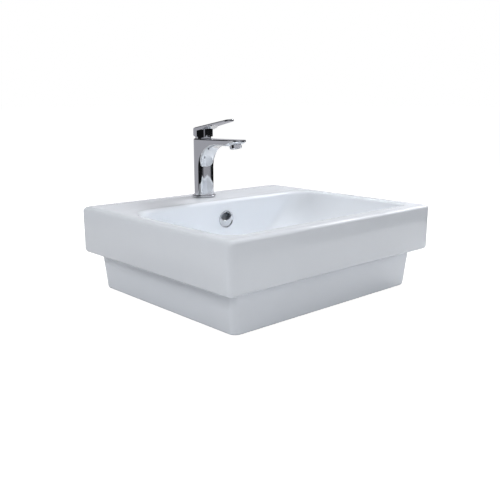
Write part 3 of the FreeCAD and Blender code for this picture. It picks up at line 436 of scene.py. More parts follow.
def basin_surface(size):
    """The glazed body as one closed grid: rows go from the waste hole up the bowl, over the deck, down the
    rim and the skirt, up inside them and down the bowl's outside to the hole again. With it comes the row
    where the bowl's outside starts."""
    top, floor = size.height, size.height - size.bowl_depth
    rise = QUARTER - np.linspace(QUARTER, 0, EDGE_STEPS)[1:]
    ease, fall = 1 - np.sin(rise), 1 - np.cos(rise)
    wall = np.sin(np.linspace(QUARTER, math.asin(size.bowl_edge / size.bowl_depth), WALL_STEPS))
    mouth = (size.bowl_edge - size.bowl_edge * np.sin(rise)) / size.bowl_depth
    seat, recess = size.waste_recess, floor - size.recess_depth
    bowl = [
        ring_loops([size.waste_hole, seat, seat, seat + SEAT_EDGE],
                   [recess, recess, floor - SEAT_EDGE, floor]),
        bowl_loops(size, wall, 0, 0, top, size.bowl_depth),
        bowl_loops(size, mouth, 0, size.bowl_edge * fall, top, size.bowl_depth),
    ]
    inset = size.rim_top * ease
    rim_edge = block_loops(size, size.rim_side * ease, inset, inset, size.rim_corner - inset,
                           top - size.rim_top * fall)
    rim_lip = block_loops(size, size.rim_side, size.rim_top, size.rim_top,
                          size.rim_corner - size.rim_top, top)
    deck = between(bowl[-1][-1:], rim_lip, DECK_STEPS)
    tuck = size.rim_bottom * fall
    rim_foot = block_loops(size, tuck, tuck, tuck, size.rim_corner - tuck,
                           size.skirt_height + size.rim_bottom * ease)
    insets = size.skirt_insets
    hollow = size.skirt_fillet * ease
    neck = block_loops(size, *(inset - hollow for inset in insets), size.skirt_corner + hollow,
                       size.skirt_height - size.skirt_fillet * fall)
    slope = math.tan(size.skirt_draft)
    foot_z = np.concatenate([[size.skirt_foot], size.skirt_foot * ease])
    foot_in = np.concatenate([[0], size.skirt_foot * fall])
    lean = (size.skirt_height - foot_z) * slope
    skirt = block_loops(size, *(inset + lean + foot_in for inset in insets), size.skirt_corner, foot_z)
    ledge = size.skirt_height + size.wall
    inner_z = np.array([0, size.skirt_height, ledge])
    inner_in = size.wall + np.maximum(size.skirt_height - inner_z, 0) * slope
    inside = block_loops(size, *(inset + inner_in for inset in insets), size.skirt_corner, inner_z)
    hull = block_loops(size, size.wall, size.wall, size.wall, size.rim_corner, [ledge, top - size.wall])
    outer_depth = size.bowl_depth + size.floor
    outer = np.sin(np.linspace(math.asin(size.wall / outer_depth), QUARTER, WALL_STEPS))
    outside = bowl_loops(size, outer, size.wall, 0, top, outer_depth)
    boss = floor - size.boss_depth
    below = ring_loops([size.boss_radius, size.boss_radius, size.waste_hole],
                       [top - outer_depth, boss, boss])
    before = bowl + [deck, rim_lip, rim_edge, rim_foot, neck, skirt, inside, hull]
    return np.concatenate(before + [outside, below]), sum(map(len, before))


def cell_window(size, points, first, shares):
    """The block of cells that frames the overflow's hole in one of the bowl's walls, from a first row: rows
    within a height of the hole's centre, columns of the back within a width."""
    wide, tall = (size.overflow_hole * WINDOW_REACH * share for share in shares)
    back = slice(2 * (SIDE_STEPS + CORNER_STEPS), 3 * SIDE_STEPS + 2 * CORNER_STEPS)
    height = points[first:first + WALL_STEPS, back.start, 2]
    inside = np.flatnonzero(np.abs(height - LINER_Z) < tall) + first
    middle = inside[len(inside) // 2]
    across = np.flatnonzero(np.abs(points[middle, back, 0]) < wide) + back.start
    return inside[0], inside[-1], across[0], across[-1]


def border(points, window):
    """The edge of a block of cells as one loop of points."""
    block = points[window[0]:window[1] + 1, window[2]:window[3] + 1]
    return np.concatenate([block[0, :-1], block[:-1, -1], block[-1, :0:-1], block[:0:-1, 0]])


def around(loop, centre, reach):
    """Points round a centre in the directions of a loop's points: p = c + reach(w) (cos w, sin w)."""
    w = np.arctan2(loop[:, 2] - centre[2], loop[:, 0] - centre[0])
    far = reach(w)
    x, z = centre[0] + far * np.cos(w), centre[2] + far * np.sin(w)
    return np.stack([x, np.full(len(loop), centre[1]), z], axis=-1)


def overflow_way(size, points, window):
    """The hole through the back wall and the blind way behind it: loops from the window's border to the
    hole's circle, through the wall, out to the way's square and to its back."""
    edge = border(points, window)
    centre = np.array([0, size.depth / 2 - size.deck_depth, LINER_Z])
    depth, deeper = np.array([0, size.wall, 0]), np.array([0, size.duct_depth, 0])
    half = size.duct_half * WAY_SPREAD
    circle = around(edge, centre, lambda w: np.full(w.shape, size.overflow_hole))
    square = around(edge, centre, lambda w: half / np.maximum(np.abs(np.cos(w)), np.abs(np.sin(w))))
    back = np.broadcast_to(centre + depth + deeper, edge.shape)
    return np.stack([edge, circle, circle + depth, square + depth, square + depth + deeper, back])


def duct_housing(size, points, window):
    """The duct's outside: the window's border in the bowl's outer wall, drawn back and closed."""
    edge = border(points, window)
    far = edge.copy()
    far[:, 1] = edge[:, 1].max() + size.duct_depth + size.duct_wall
    return np.stack([edge, far, np.broadcast_to(far.mean(axis=0), far.shape)])


# Mixer tap
COLUMN_ROWS = 8
ARCH_ROWS = 33
SPOUT_ROWS = 6
NOSE_ROWS = 12
TIP_ROWS = 18
BELLY_STEPS = 25
FLANK_STEPS = 9
BACK_STEPS = 65
TOP_SHARES = (0.35, 0.7, 1)


def on_deck(x, ahead, up):
    """Places points given from the tap's axis forward and from the deck up."""
    x, ahead, up = np.broadcast_arrays(x, ahead, up)
    return np.stack([x, TAP_Y - ahead, DECK + up], axis=-1)


class Plan:
    """An outline seen from above: a rear arc about the axis, a smaller arc ahead and their tangents."""

    def __init__(self, rear, tip, reach):
        self.rear, self.tip, self.ahead = rear, tip, reach - tip
        self.lean = math.asin((rear - tip) / self.ahead)
        self.first = rear * math.sin(self.lean)
        self.last = self.ahead + tip * math.sin(self.lean)

    def half_width(self, d):
        """Half the width at a distance ahead: (R - d sin a) / cos a on the tangents, a circle at the
        tip."""
        sides = (self.rear - d * math.sin(self.lean)) / math.cos(self.lean)
        tip = np.sqrt(np.maximum(self.tip ** 2 - (d - self.ahead) ** 2, 0))
        return np.where(d < self.last, sides, tip)

    def inwards(self, x, d, inset):
        """Points of the outline moved square to it by an inset."""
        zones = (d < self.first - WELD, d < self.last)
        normal_x = np.select(zones, (x / self.rear, np.sign(x) * math.cos(self.lean)), x / self.tip)
        normal_d = np.select(zones, (d / self.rear, math.sin(self.lean)), (d - self.ahead) / self.tip)
        return x - normal_x * inset, d - normal_d * inset

    def rear_arc(self, steps):
        """The rear arc from the right tangent round the back to the left one."""
        w = np.linspace(-self.lean, math.pi + self.lean, steps)
        return self.rear * np.cos(w), -self.rear * np.sin(w)

    def ahead_steps(self, start, line_steps, tip_steps):
        """Distances ahead from a start along a tangent, then round half the tip."""
        line = np.linspace(start, self.last, line_steps, endpoint=False)
        tip = self.ahead + self.tip * np.sin(np.linspace(self.lean, QUARTER, tip_steps))
        return np.concatenate([line, tip])


def top_sheet(plan, x, d, height, edge):
    """A closed top over an outline: a quarter round of the edge, then straight in to the middle line."""
    sweep = np.linspace(0, QUARTER, EDGE_STEPS)
    rows = [plan.inwards(x, d, edge * (1 - math.cos(w))) + (edge * (1 - math.sin(w)),) for w in sweep]
    inner_x, inner_d, _ = rows[-1]
    rows += [(inner_x * (1 - t), inner_d, 0) for t in TOP_SHARES]
    return Sheet(np.stack([on_deck(across, ahead, height(ahead) - drop) for across, ahead, drop in rows]),
                 close_columns=True)


def spout_top(size, d):
    """Height of the body's top: level over the column, then rising to the tip."""
    return size.top + size.tip_rise * np.maximum(d - size.top_flat, 0) / (size.tip - size.top_flat)


def spout_edge(size, d):
    """Rounding of the body's top edge: even along the column and spout, finer towards the tip."""
    share = np.clip((d - size.nose_start) / (size.tip - size.nose_start), 0, 1)
    return size.edge + (size.tip_edge - size.edge) * share


def body_path(size, plan):
    """Middle line of the column's front, the arch, the spout's underside and the nose: distances ahead,
    heights and the crown of the belly at each row."""
    column = np.linspace(size.foot, size.underside - size.arch, COLUMN_ROWS, endpoint=False)
    sweep = np.linspace(0, QUARTER, ARCH_ROWS)
    arch_d = size.front + size.arch * (1 - np.cos(sweep))
    arch_h = size.underside - size.arch * (1 - np.sin(sweep))
    spout_d = np.linspace(arch_d[-1], size.nose_start, SPOUT_ROWS + 2)[1:-1]
    nose_d = plan.ahead_steps(size.nose_start, NOSE_ROWS, TIP_ROWS)
    share = (nose_d - size.nose_start) / (size.tip - size.nose_start)
    nose_h = size.underside + size.nose_rise * share ** 2
    room = spout_top(size, nose_d) - spout_edge(size, nose_d) - nose_h
    d = np.concatenate([np.full(COLUMN_ROWS, size.front), arch_d, spout_d, nose_d])
    h = np.concatenate([column, arch_h, np.full(SPOUT_ROWS, size.underside), nose_h])
    belly = np.concatenate([
        np.full(COLUMN_ROWS, size.column_belly),
        size.column_belly + (size.spout_belly - size.column_belly) * smooth(sweep / QUARTER),
        np.full(SPOUT_ROWS, size.spout_belly),
        np.minimum(size.spout_belly + size.nose_belly * share, room),
    ])
    return d, h, belly


def mixer_sheets(size):
    """The tap's body: a crowned belly down the column and along the spout, p = middle - n e (1 - cos^k w) /
    (1 - cos^k m), x = half width (sin w / sin m)^k with k = 2 / power, that meets flat sides at a crease;
    a half-round back; a flat top."""
    plan = Plan(size.rear, size.tip_radius, size.tip)
    d, h, belly = body_path(size, plan)
    past_arch = COLUMN_ROWS + ARCH_ROWS
    normal_d, normal_h = np.gradient(h), -np.gradient(d)
    scale = np.hypot(normal_d, normal_h)
    normal_d, normal_h = normal_d / scale, normal_h / scale
    normal_d[-1], normal_h[-1] = normal_d[-2], normal_h[-2]
    crease_d, crease_h = d - normal_d * belly, h - normal_h * belly
    half = plan.half_width(crease_d)
    w, k = np.linspace(0, size.crease, BELLY_STEPS)[None, :], 2 / size.belly_power
    sink = belly[:, None] * (1 - np.cos(w) ** k) / (1 - math.cos(size.crease) ** k)
    front_x = half[:, None] * (np.sin(w) / math.sin(size.crease)) ** k
    front_d = d[:, None] - normal_d[:, None] * sink
    front_h = h[:, None] - normal_h[:, None] * sink
    share = np.linspace(0, 1, ARCH_ROWS)
    corner = spout_top(size, plan.first) - size.edge
    up, out = np.clip(2 * share, 0, 1), np.clip(2 * share - 1, 0, 1)
    spring = size.underside - size.arch
    arch_end = crease_d[past_arch - 1]
    far_d = np.concatenate([np.full(COLUMN_ROWS, plan.first), plan.first + (arch_end - plan.first) * out,
                            crease_d[past_arch:]])
    far_h = np.concatenate([h[:COLUMN_ROWS], spring + (corner - spring) * up, np.zeros(len(h) - past_arch)])
    turned_in = COLUMN_ROWS + ARCH_ROWS // 2
    far_h[turned_in:] = spout_top(size, far_d[turned_in:]) - spout_edge(size, far_d[turned_in:])
    t = np.linspace(0, 1, FLANK_STEPS)[None, 1:]
    side_d = crease_d[:, None] + (far_d - crease_d)[:, None] * t
    side_h = crease_h[:, None] + (far_h - crease_h)[:, None] * t
    right_x = np.hstack([front_x, plan.half_width(side_d)])
    right_d, right_h = np.hstack([front_d, side_d]), np.hstack([front_h, side_h])
    both_sides = ((-right_x, right_x), (right_d, right_d), (right_h, right_h))
    skin = on_deck(*(np.hstack([left[:, :0:-1], right]) for left, right in both_sides))
    rear_x, rear_d = plan.rear_arc(BACK_STEPS)
    rear = on_deck(rear_x[None, :], rear_d[None, :], far_h[:turned_in + 1, None])
    edge_d = far_d[turned_in:]
    edge_x = plan.half_width(edge_d)
    outline_x = np.concatenate([rear_x[:-1], -edge_x, edge_x[-2:0:-1]])
    outline_d = np.concatenate([rear_d[:-1], edge_d, edge_d[-2:0:-1]])
    top = top_sheet(plan, outline_x, outline_d, lambda ahead: spout_top(size, ahead),
                    spout_edge(size, outline_d))
    return [Sheet(skin), Sheet(rear), top]


# Lever handle
WALL_ROWS = 7
CAP_STEPS = 81
LINE_STEPS = 28
ROUND_STEPS = 20
UNDER_STEPS = 13
FACE_STEPS = 65


def lever_height(size, d):
    """The lever's top: a plane that rises from the back of the cap to the tip."""
    share = (d + size.cap) / (size.lever_reach + size.cap)
    return size.lever_rear + (size.lever_top - size.lever_rear) * share


def lever_underside(size, d):
    """The lever's underside: a slope over the cap, then a straight run to the tip with a hollow neck below
    its start, straight - hollow (1 - t)^2."""
    near = size.lever_root + (size.lever_neck - size.lever_root) * d / size.cap
    start, end = size.lever_neck + size.lever_hollow, size.lever_top - size.lever_thick
    t = np.clip((d - size.cap) / size.lever_blend, 0, 1)
    straight = start + (end - start) * (d - size.cap) / (size.lever_reach - size.cap)
    return np.where(d < size.cap, near, straight - size.lever_hollow * (1 - t) ** 2)


def cap_foot(size, d):
    """The cap's foot: level ahead of the axis and rising behind it, so that the cap can tilt back."""
    return size.cap_foot + np.maximum(-d, 0) * math.tan(size.cap_cut)


def ruled(x, d, low, high):
    """A wall over a line seen from above, ruled between two heights: p = low + (high - low) t."""
    return on_deck(x, d, low + (high - low) * np.linspace(0, 1, WALL_ROWS)[:, None])


def lever_sheets(size):
    """The handle: a round cap with a hollow, and a tapering lever whose walls, underside and top are ruled
    between the outline's heights."""
    plan = Plan(size.cap, size.lever_tip, size.lever_reach)
    rear_x, rear_d = plan.rear_arc(CAP_STEPS)
    rear = ruled(rear_x, rear_d, cap_foot(size, rear_d), lever_height(size, rear_d) - size.lever_edge)
    ahead = plan.ahead_steps(plan.first, LINE_STEPS, ROUND_STEPS)
    side_x = plan.half_width(ahead)
    front_x = np.concatenate([-side_x, side_x[-2::-1]])
    front_d = np.concatenate([ahead, ahead[-2::-1]])
    walls = ruled(front_x, front_d, lever_underside(size, front_d),
                  lever_height(size, front_d) - size.lever_edge)
    across = np.linspace(-1, 1, UNDER_STEPS)[None, :]
    underside = on_deck(side_x[:, None] * across, ahead[:, None], lever_underside(size, ahead)[:, None])
    outline_x = np.concatenate([rear_x[:-1], front_x[:-1]])
    outline_d = np.concatenate([rear_d[:-1], front_d[:-1]])
    top = top_sheet(plan, outline_x, outline_d, lambda d: lever_height(size, d), size.lever_edge)
    w = np.linspace(plan.lean, math.pi - plan.lean, FACE_STEPS)
    face_x, face_d = size.cap * np.cos(w), size.cap * np.sin(w)
    face = ruled(face_x, face_d, cap_foot(size, face_d), lever_underside(size, face_d))
    rims = [(size.cap, 0), (size.cap_bore, 0), (size.cap_bore, size.cap - size.cap_bore)]
    foot = np.stack([on_deck(r * np.cos(TURN), r * np.sin(TURN), cap_foot(size, r * np.sin(TURN)) + up)
                     for r, up in rims])
    return [Sheet(rear), Sheet(walls), Sheet(underside), top, Sheet(face), Sheet(foot, close_columns=True)]


# Turned pieces
ZONE_STEPS = 24
CROWN_STEPS = 14
CROWN_START = 4


def half_span(low, high):
    """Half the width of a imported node."""
    return (high.x - low.x) / 2


def base_ring_sheet():
    """The rosette: a low ring with a rounded top edge."""
    outer, height = half_span(RING_LOW, RING_HIGH), RING_HIGH.z - RING_LOW.z
    width, foot_edge, top_edge = 8.7 * MM, 0.5 * MM, 1.4 * MM
    bore = outer - width
    line = rounded_line([(bore, 0), (outer, 0), (outer, height), (bore, height)],
                        [0, foot_edge, top_edge, 0])
    return turned(line, placed(0, TAP_Y, RING_LOW.z))


def liner_sheet():
    """The overflow's liner: a sleeve, a flange with a thin rounded lip and a recessed plate, and in the
    plate an opening set high that narrows to a round bore. Loops p = (a cos w, c + b sin w) at a height
    above the flange's seat, from the tail round to the tail again."""
    front = 3 * MM
    outer, tail = half_span(LINER_LOW, LINER_HIGH) / MM, (LINER_LOW.y + front - LINER_HIGH.y) / MM

    # Round loops in millimetres: radius and height
    sleeve = [(12.5, tail), (16.5, tail), (16.5, 0), (outer, 0), (outer, 2.2)]
    lip = [(19.2, 2.8), (18.4, 3.0), (17.7, 2.8), (17.4, 2.4), (17.1, 1.6), (16.6, 0.8), (15.9, 0.5)]

    # Oval loops in millimetres: half width a, half height b, rise c and height
    opening = [(14.6, 9.3, 6.5, 0.4), (14.2, 9.0, 6.6, 0.1), (14.1, 8.9, 6.6, -0.4), (13.5, 9.5, 4.0, -5.0),
               (12.0, 12.0, 0, tail)]
    loops = np.array([(r, r, 0, height) for r, height in sleeve + lip] + opening) * MM
    a, b, c, height = loops.T[:, :, None]
    place = placed(0, LINER_LOW.y + front, LINER_Z, -QUARTER)
    height = np.broadcast_to(height, (len(loops), TURN_STEPS))
    return Sheet(place(a * np.cos(TURN), c + b * np.sin(TURN), height), True, True)


def aerator_sheet(size):
    """The aerator's housing: a plain sleeve with rounded foot and an inward lip, leaning on the spout's
    nose."""
    outer, foot = half_span(AERATOR_LOW, AERATOR_HIGH), -size.aerator_drop
    wall, bore, lip = 1.8 * MM, 9.2 * MM, 7.4 * MM
    lip_edge, foot_edge, top_edge, sill_edge = 0.5 * MM, 1.0 * MM, 0.3 * MM, 0.4 * MM
    sill = foot + wall
    line = rounded_line([(lip, foot), (outer, foot), (outer, 0), (bore, 0), (bore, sill), (lip, sill)],
                        [lip_edge, foot_edge, top_edge, 0, 0, sill_edge])
    return turned(line, placed(0, TAP_Y - size.aerator_reach, DECK + size.aerator_seat, size.aerator_tilt))


def cover_sheet():
    """The trim over the cartridge: a zone of a ball about the lever's pivot."""
    ball, wall = 18 * MM, 1.4 * MM
    low, high = (math.asin((end.z - PIVOT.z) / ball) for end in span("cartridge_cover"))
    w = np.linspace(low, high, ZONE_STEPS)
    zone = np.stack([np.cos(w), np.sin(w)], axis=1)
    shell = np.concatenate([ball * zone, (ball - wall) * zone[::-1]])
    return turned(shell, placed(0, TAP_Y, PIVOT.z))


def plug_sheet():
    """The push plug: a crowned disc with a rounded rim and a boss under it; the crown falls as top -
    drop (r / outer)^2."""
    low, high = PLUG_LOW, PLUG_HIGH
    outer, top = half_span(low, high), high.z - low.z
    boss, boss_depth, drop, margin = 6 * MM, 3 * MM, 1.1 * MM, 1.6 * MM
    slope_run, slope_drop, foot_edge, top_edge = 8 * MM, 0.5 * MM, 0.6 * MM, 1.8 * MM
    r = np.linspace(1, 0, CROWN_STEPS) * (outer - margin)
    crown = np.stack([r, top - drop * (r / outer) ** 2], axis=1)[CROWN_START:]
    rim = rounded_line([(outer, boss_depth), (outer, top - drop), (outer - slope_run, top - slope_drop)],
                       [foot_edge, top_edge, 0])[:-1]
    under = np.array([[0, 0], [boss, 0], [boss, boss_depth]])
    place = placed((low.x + high.x) / 2, (low.y + high.y) / 2, low.z)
    return turned(np.concatenate([under, rim, crown]), place, close_rows=False)


# Finishes
RELIEF = 0.2 * MM
GLOSS_IOR = 1.5
COAT_ROUGHNESS = 0.03
BROAD_DETAIL = 3
FINE_DETAIL = 2
FINER = 7
NOISE_RANGE = (0.3, 0.7)

# By material slot: colour, scale, least and most roughness, metallic, bump, contrast, coat
RECIPES = {
    "glaze": ("glaze", 14, 0.06, 0.12, 0, 0.03, 0.015, 0.3),
    "chrome": ("chrome", 60, 0.03, 0.07, 1, 0.01, 0.03, 0),
    "seal_rubber": ("rubber", 300, 0.55, 0.75, 0, 0.3, 0.2, 0),
    "bare_brass": ("brass", 220, 0.22, 0.38, 1, 0.08, 0.12, 0),
    "steel": ("steel", 180, 0.25, 0.4, 1, 0.1, 0.1, 0),
    "grey_plastic": ("plastic", 400, 0.4, 0.55, 0, 0.15, 0.08, 0),
    "valve_ceramic": ("discs", 260, 0.12, 0.22, 0, 0.03, 0.04, 0),
}


def feed(tree, node, inputs):
    """Sets constants on a node's own sockets, and links those that another node's output feeds."""
    for key, value in inputs.items():
        if isinstance(value, bpy.types.NodeSocket):
            tree.links.new(value, node.inputs[key])
        else:
            node.inputs[key].default_value = value


def add_node(tree, kind, inputs, **settings):
    """Adds a shader node with its settings and inputs, and gives its outputs."""
    node = tree.nodes.new(f"ShaderNode{kind}")
    for name, value in settings.items():
        setattr(node, name, value)
    feed(tree, node, inputs)
    return node.outputs


def ramp_limits(low, high, first, last):
    """Inputs of a ramp: where it starts and ends, and its value before and after."""
    return {"From Min": low, "From Max": high, "To Min": first, "To Max": last}


def variation_group():
    """Fine variation of a finish over the surface: a tone between two colours, a roughness between two
    values and a height, all from noise on the object's own coordinates."""
    name = "fine_variation"
    if name in bpy.data.node_groups:
        return bpy.data.node_groups[name]
    group = bpy.data.node_groups.new(name, "ShaderNodeTree")
    for way, kind, labels in (
        ("INPUT", "Float", ("Scale", "Least", "Most")),
        ("INPUT", "Color", ("Dark", "Light")),
        ("OUTPUT", "Color", ("Tone",)),
        ("OUTPUT", "Float", ("Roughness", "Height")),
    ):
        for label in labels:
            group.interface.new_socket(label, in_out=way, socket_type=f"NodeSocket{kind}")
    entry, leave = group.nodes.new("NodeGroupInput").outputs, group.nodes.new("NodeGroupOutput")
    place = add_node(group, "TexCoord", {})["Object"]
    finer = add_node(group, "Math", {0: entry["Scale"], 1: FINER}, operation="MULTIPLY")[0]
    broad, fine = (
        add_node(group, "TexNoise", {"Vector": place, "Scale": scale, "Detail": detail})["Fac"]
        for scale, detail in ((entry["Scale"], BROAD_DETAIL), (finer, FINE_DETAIL)))
    limits = ramp_limits(*NOISE_RANGE, entry["Least"], entry["Most"])
    spread = add_node(group, "MapRange", {"Value": broad, **limits})
    shades = {"Factor": broad, "A": entry["Dark"], "B": entry["Light"]}
    tone = add_node(group, "Mix", shades, data_type="RGBA")
    feed(group, leave, {"Tone": tone["Result"], "Roughness": spread["Result"], "Height": fine})
    return group


def new_material(name):
    """A material and its shader."""
    material = bpy.data.materials.new(name)
    material.use_nodes = True
    return material, material.node_tree.nodes["Principled BSDF"]


def finish(name, shade, scale, least, most, metallic, bump, contrast, coat):
    """A finish: one shader fed by the fine variation, with its own constants."""
    material, shader = new_material(name)
    tree = material.node_tree
    dark, light = ((*(min(1.0, part * gain) for part in shade), 1) for gain in (1 - contrast, 1 + contrast))
    values = {"Scale": scale, "Least": least, "Most": most, "Dark": dark, "Light": light}
    play = add_node(tree, "Group", values, node_tree=variation_group())
    relief = add_node(tree, "Bump", {"Strength": bump, "Distance": RELIEF, "Height": play["Height"]})
    feed(tree, shader, {
        "Base Color": play["Tone"],
        "Roughness": play["Roughness"],
        "Normal": relief["Normal"],
        "Metallic": metallic,
        "IOR": GLOSS_IOR,
        "Coat Weight": coat,
        "Coat Roughness": COAT_ROUGHNESS,
    })
    return material


def finish_of(slot):
    """The finish of one of the record's material slots, made once."""
    name = f"{slot}_finish"
    if name in bpy.data.materials:
        return bpy.data.materials[name]
    shade, *values = RECIPES[slot]
    return finish(name, getattr(bpy.context.scene.basin_finishes, shade), *values)


# Operators


class BASIN_OT_ceramic(bpy.types.Operator):
    """Makes the glazed basin with its bowl, deck, skirt and overflow way."""

    bl_idname = "basin.ceramic"
    bl_label = "Ceramic"

    def execute(self, context):
        size = context.scene.basin_ceramic
        points, outside = basin_surface(size)
        inner = cell_window(size, points, WASTE_ROWS, INNER_WINDOW)
        outer = cell_window(size, points, outside, OUTER_WINDOW)
        sheets = [
            Sheet(points, True, True, (inner, outer)),
            Sheet(overflow_way(size, points, inner), close_columns=True),
            Sheet(duct_housing(size, points, outer), close_columns=True),
        ]
        add_piece("glazed_basin", sheets, "fixed", "glaze", ["basin"])
        return {"FINISHED"}


class BASIN_OT_mixer(bpy.types.Operator):
    """Makes the tap's column and spout."""

    bl_idname = "basin.mixer"
    bl_label = "Mixer body"

    def execute(self, context):
        sheets = mixer_sheets(context.scene.basin_tap)
        add_piece("tap_body", sheets, "fixed", "chrome", ["mixer_body"], sharp=18)
        return {"FINISHED"}


class BASIN_OT_lever(bpy.types.Operator):
    """Makes the handle's cap and lever."""

    bl_idname = "basin.lever"
    bl_label = "Lever handle"

    def execute(self, context):
        sheets = lever_sheets(context.scene.basin_tap)
        add_piece("tap_lever", sheets, "lever", "chrome", ["lever_handle"])
        return {"FINISHED"}


class BASIN_OT_turned(bpy.types.Operator):
    """Makes the turned chrome pieces: rosette, overflow liner, aerator, cartridge cover and plug."""

    bl_idname = "basin.turned"
    bl_label = "Turned pieces"

    def execute(self, context):
        for name, sheet, body, node in (
            ("tap_rosette", base_ring_sheet(), "fixed", "base_ring"),
            ("overflow_liner", liner_sheet(), "fixed", "overflow_ring"),
            ("spout_aerator", aerator_sheet(context.scene.basin_tap), "fixed", "aerator_housing"),
            ("cartridge_trim", cover_sheet(), "fixed", "cartridge_cover"),
            ("push_plug", plug_sheet(), "plug", "plug_cap"),
        ):
            add_piece(name, [sheet], body, "chrome", [node])
        return {"FINISHED"}


class BASIN_OT_finishes(bpy.types.Operator):
    """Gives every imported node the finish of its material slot."""

    bl_idname = "basin.finishes"
    bl_label = "Finishes"

    def execute(self, context):
        for part in frame["record"]["subparts"]:
            node = frame["nodes"][part["node"]]
            for place in node.material_slots:
                place.material = finish_of(part["material_slot"])
        return {"FINISHED"}


# Stage
LIGHT_AIM = (0, 0, 0.1)
FLOOR_CENTRE = (0, 0, -0.5 * MM)
FLOOR_HALF = (30, 30, 0)
TABLE_CENTRE = (0.05, 0.15, 0)
TABLE_HALF = (0.85, 0.8, 0)
SENSOR_WIDTH = 36
STRIP_AT = (-0.4, -0.9, 0)
FIELD_AT = (0.33, -0.92, 0)
EVEN_TINT = (0.97, 0.98, 1.0)
ROOM_TINT = (0.93, 0.93, 1.0)
WHITE = (1, 1, 1)


def panel_light(name, place, width, height, watts):
    """A soft rectangular light turned towards the object."""
    lamp = bpy.data.lights.new(name, "AREA")
    lamp.shape = "RECTANGLE"
    lamp.size, lamp.size_y, lamp.energy = width, height, watts
    holder = add_object(name, lamp)
    holder.location = place
    holder.rotation_euler = (Vector(LIGHT_AIM) - Vector(place)).to_track_quat("-Z", "Y").to_euler()
    return holder


def flat_panel(name, centre, half, material):
    """A level rectangle of the stage: p = c + (s a, t b) with s and t at -1 and 1."""
    corners = np.array(centre) + np.array([(-1, -1, 0), (1, -1, 0), (1, 1, 0), (-1, 1, 0)]) * half
    mesh = bpy.data.meshes.new(name)
    mesh.from_pydata(corners.tolist(), [], [(0, 1, 2, 3)])
    mesh.materials.append(material)
    panel = add_object(name, mesh)
    return panel


def plain_material(name, shade, glow=0.0):
    """A dull stage surface, with a little light of its own where it should stay pale."""
    material, shader = new_material(name)
    feed(material.node_tree, shader, {
        "Base Color": (*shade, 1),
        "Roughness": 1,
        "Specular IOR Level": 0,
        "Emission Color": (*WHITE, 1),
        "Emission Strength": glow,
    })
    return material


# Panels of light: name, place, width, height, whether only the gloss shows it
PANELS = (
    ("overhead", (0.0, 0.1, 1.9), 1.9, 1.9, False),
    ("left_low", (-2.2, 0.0, 0.35), 1.6, 0.7, False),
    ("left_high", (-1.7, 0.2, 1.5), 1.0, 0.8, False),
    ("back", (0.0, 2.2, 1.0), 1.4, 1.0, False),
    ("front_left", (-1.3, -1.6, 0.7), 1.0, 1.0, False),
    ("front_right", (1.5, -1.7, 0.8), 1.0, 1.0, False),
    ("front_high", (0.0, -1.3, 1.7), 1.4, 1.0, False),
    ("front_top", (0.0, -0.7, 1.9), 1.2, 0.8, False),
    ("right_high", (1.2, 0.1, 1.4), 0.5, 0.5, False),
    ("mirrored", (0.0, 0.1, 1.9), 1.9, 1.9, True),
    ("glint", (1.7, -0.6, 1.3), 0.15, 0.8, True),
)


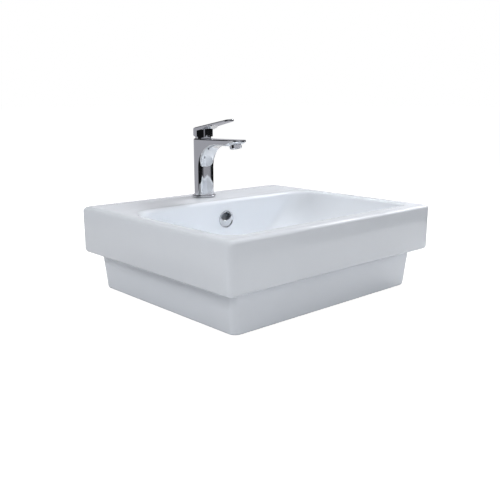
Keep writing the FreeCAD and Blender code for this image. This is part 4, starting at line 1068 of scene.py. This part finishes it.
class BASIN_OT_stage(bpy.types.Operator):
    """Sets the pale floor, the soft light, the surround that the plating mirrors, and the camera."""

    bl_idname = "basin.stage"
    bl_label = "Stage"

    def execute(self, context):
        studio = context.scene.basin_studio
        floor = flat_panel("floor", FLOOR_CENTRE, FLOOR_HALF,
                           plain_material("pale_floor", studio.floor, studio.floor_glow))
        floor.visible_diffuse = floor.visible_glossy = floor.visible_shadow = False
        table = flat_panel("table", TABLE_CENTRE, TABLE_HALF, plain_material("table", studio.table))
        table.visible_camera = table.visible_shadow = False
        for name, place, width, height, mirrored in PANELS:
            panel = panel_light(name, place, width, height, getattr(studio, name))
            panel.visible_glossy, panel.visible_diffuse = mirrored, not mirrored
        self.surround(context.scene, studio)
        self.camera(context.scene, studio)
        context.scene.view_settings.view_transform = "Standard"
        return {"FINISHED"}

    @staticmethod
    def surround(scene, studio):
        """White behind the object; a faint even light; and for mirrored rays a dark room with a grey
        backdrop, a strip ahead, and grey fields ahead, before the object and on its right, each a product
        of ramps over the ray's direction."""
        world = bpy.data.worlds.new("studio")
        world.use_nodes = True
        tree = world.node_tree
        tree.nodes.clear()
        ray = add_node(tree, "TexCoord", {})["Generated"]
        parts = add_node(tree, "SeparateXYZ", {"Vector": ray})
        x, y, z = (parts[axis] for axis in "XYZ")

        def towards(direction):
            """How nearly a mirrored ray runs in a direction."""
            return add_node(tree, "VectorMath", {0: ray, 1: direction}, operation="DOT_PRODUCT")["Value"]

        def ramp(source, *limits):
            """A value eased from one number to another between two limits of a source."""
            inputs = {"Value": source, **ramp_limits(*limits)}
            return add_node(tree, "MapRange", inputs, interpolation_type="SMOOTHSTEP")["Result"]

        def combined(operation, first, *others):
            """Values put together one after another by an operation."""
            for second in others:
                first = add_node(tree, "Math", {0: first, 1: second}, operation=operation)[0]
            return first

        def glow(shade, strength):
            """Light of one colour, its strength a number or a value."""
            return add_node(tree, "Background", {"Color": (*shade, 1), "Strength": strength})[0]

        def choose(factor, first, second):
            """The first light, or the second where the factor is 1."""
            return add_node(tree, "MixShader", {0: factor, 1: first, 2: second})[0]

        def field(*ramps):
            """The product of ramps."""
            return combined("MULTIPLY", *(ramp(*row) for row in ramps))

        # Ramps: source, where it starts and ends, value before and after
        strip = ramp(towards(STRIP_AT), 0.975, 0.982, 0.0, 0.3)
        ahead = field((towards(FIELD_AT), 0.82, 0.92, 0.0, studio.ahead), (z, -0.09, -0.06, 1.0, 0.0))
        behind = field((y, 0.46, 0.53, 0.02, 1.0), (x, -0.3, 0.3, studio.backdrop_left, studio.backdrop),
                       (z, 0.15, 0.32, 1.0, 0.05))
        before = field((y, -0.35, -0.15, studio.before, 0.0), (z, 0.02, 0.1, 0.0, 1.0))
        beside = field((x, 0.78, 0.86, 0.0, studio.beside), (z, -0.02, 0.04, 0.0, 1.0))
        room = combined("ADD", strip, ahead, before, combined("ADD", behind, beside))
        path = add_node(tree, "LightPath", {})
        lit = choose(path["Is Glossy Ray"], glow(EVEN_TINT, studio.world), glow(ROOM_TINT, room))
        add_node(tree, "OutputWorld", {"Surface": choose(path["Is Camera Ray"], lit, glow(WHITE, 1.0))})
        scene.world = world

    @staticmethod
    def camera(scene, studio):
        """The camera at the photograph's angle, aimed a little beside the axis."""
        turn, rise = studio.azimuth, studio.elevation
        ahead = Vector((math.sin(turn) * math.cos(rise), math.cos(turn) * math.cos(rise), -math.sin(rise)))
        right = Vector((math.cos(turn), -math.sin(turn), 0))
        up = right.cross(ahead)
        aim = right * studio.aim_right + Vector((0, 0, studio.aim_up))
        data = bpy.data.cameras.new("camera")
        data.sensor_width, data.lens = SENSOR_WIDTH, studio.lens
        scene.camera = add_object("camera", data)
        scene.camera.matrix_world = Matrix.Translation(aim - ahead * studio.distance) @ Matrix(
            (right, up, -ahead)).transposed().to_4x4()


class BASIN_PT_panel(bpy.types.Panel):
    """Lists the pieces in the order they are made."""

    bl_idname = "BASIN_PT_panel"
    bl_label = "Countertop basin"
    bl_space_type = "VIEW_3D"
    bl_region_type = "UI"
    bl_category = "Basin"

    def draw(self, context):
        for operator in OPERATORS:
            self.layout.operator(operator.bl_idname)


GROUPS = {
    "basin_ceramic": CeramicSizes,
    "basin_tap": TapSizes,
    "basin_finishes": Finishes,
    "basin_studio": Studio,
}
OPERATORS = (
    BASIN_OT_ceramic,
    BASIN_OT_mixer,
    BASIN_OT_lever,
    BASIN_OT_turned,
    BASIN_OT_finishes,
    BASIN_OT_stage,
)


def register():
    for name, group in GROUPS.items():
        bpy.utils.register_class(group)
        setattr(bpy.types.Scene, name, bpy.props.PointerProperty(type=group))
    for kind in (*OPERATORS, BASIN_PT_panel):
        bpy.utils.register_class(kind)


def unregister():
    for kind in (BASIN_PT_panel, *reversed(OPERATORS)):
        bpy.utils.unregister_class(kind)
    for name, group in GROUPS.items():
        delattr(bpy.types.Scene, name)
        bpy.utils.unregister_class(group)


def main():
    register()
    bpy.ops.basin.ceramic()
    bpy.ops.basin.mixer()
    bpy.ops.basin.lever()
    bpy.ops.basin.turned()
    bpy.ops.basin.finishes()
    bpy.ops.basin.stage()


if __name__ == "__main__":
    main()
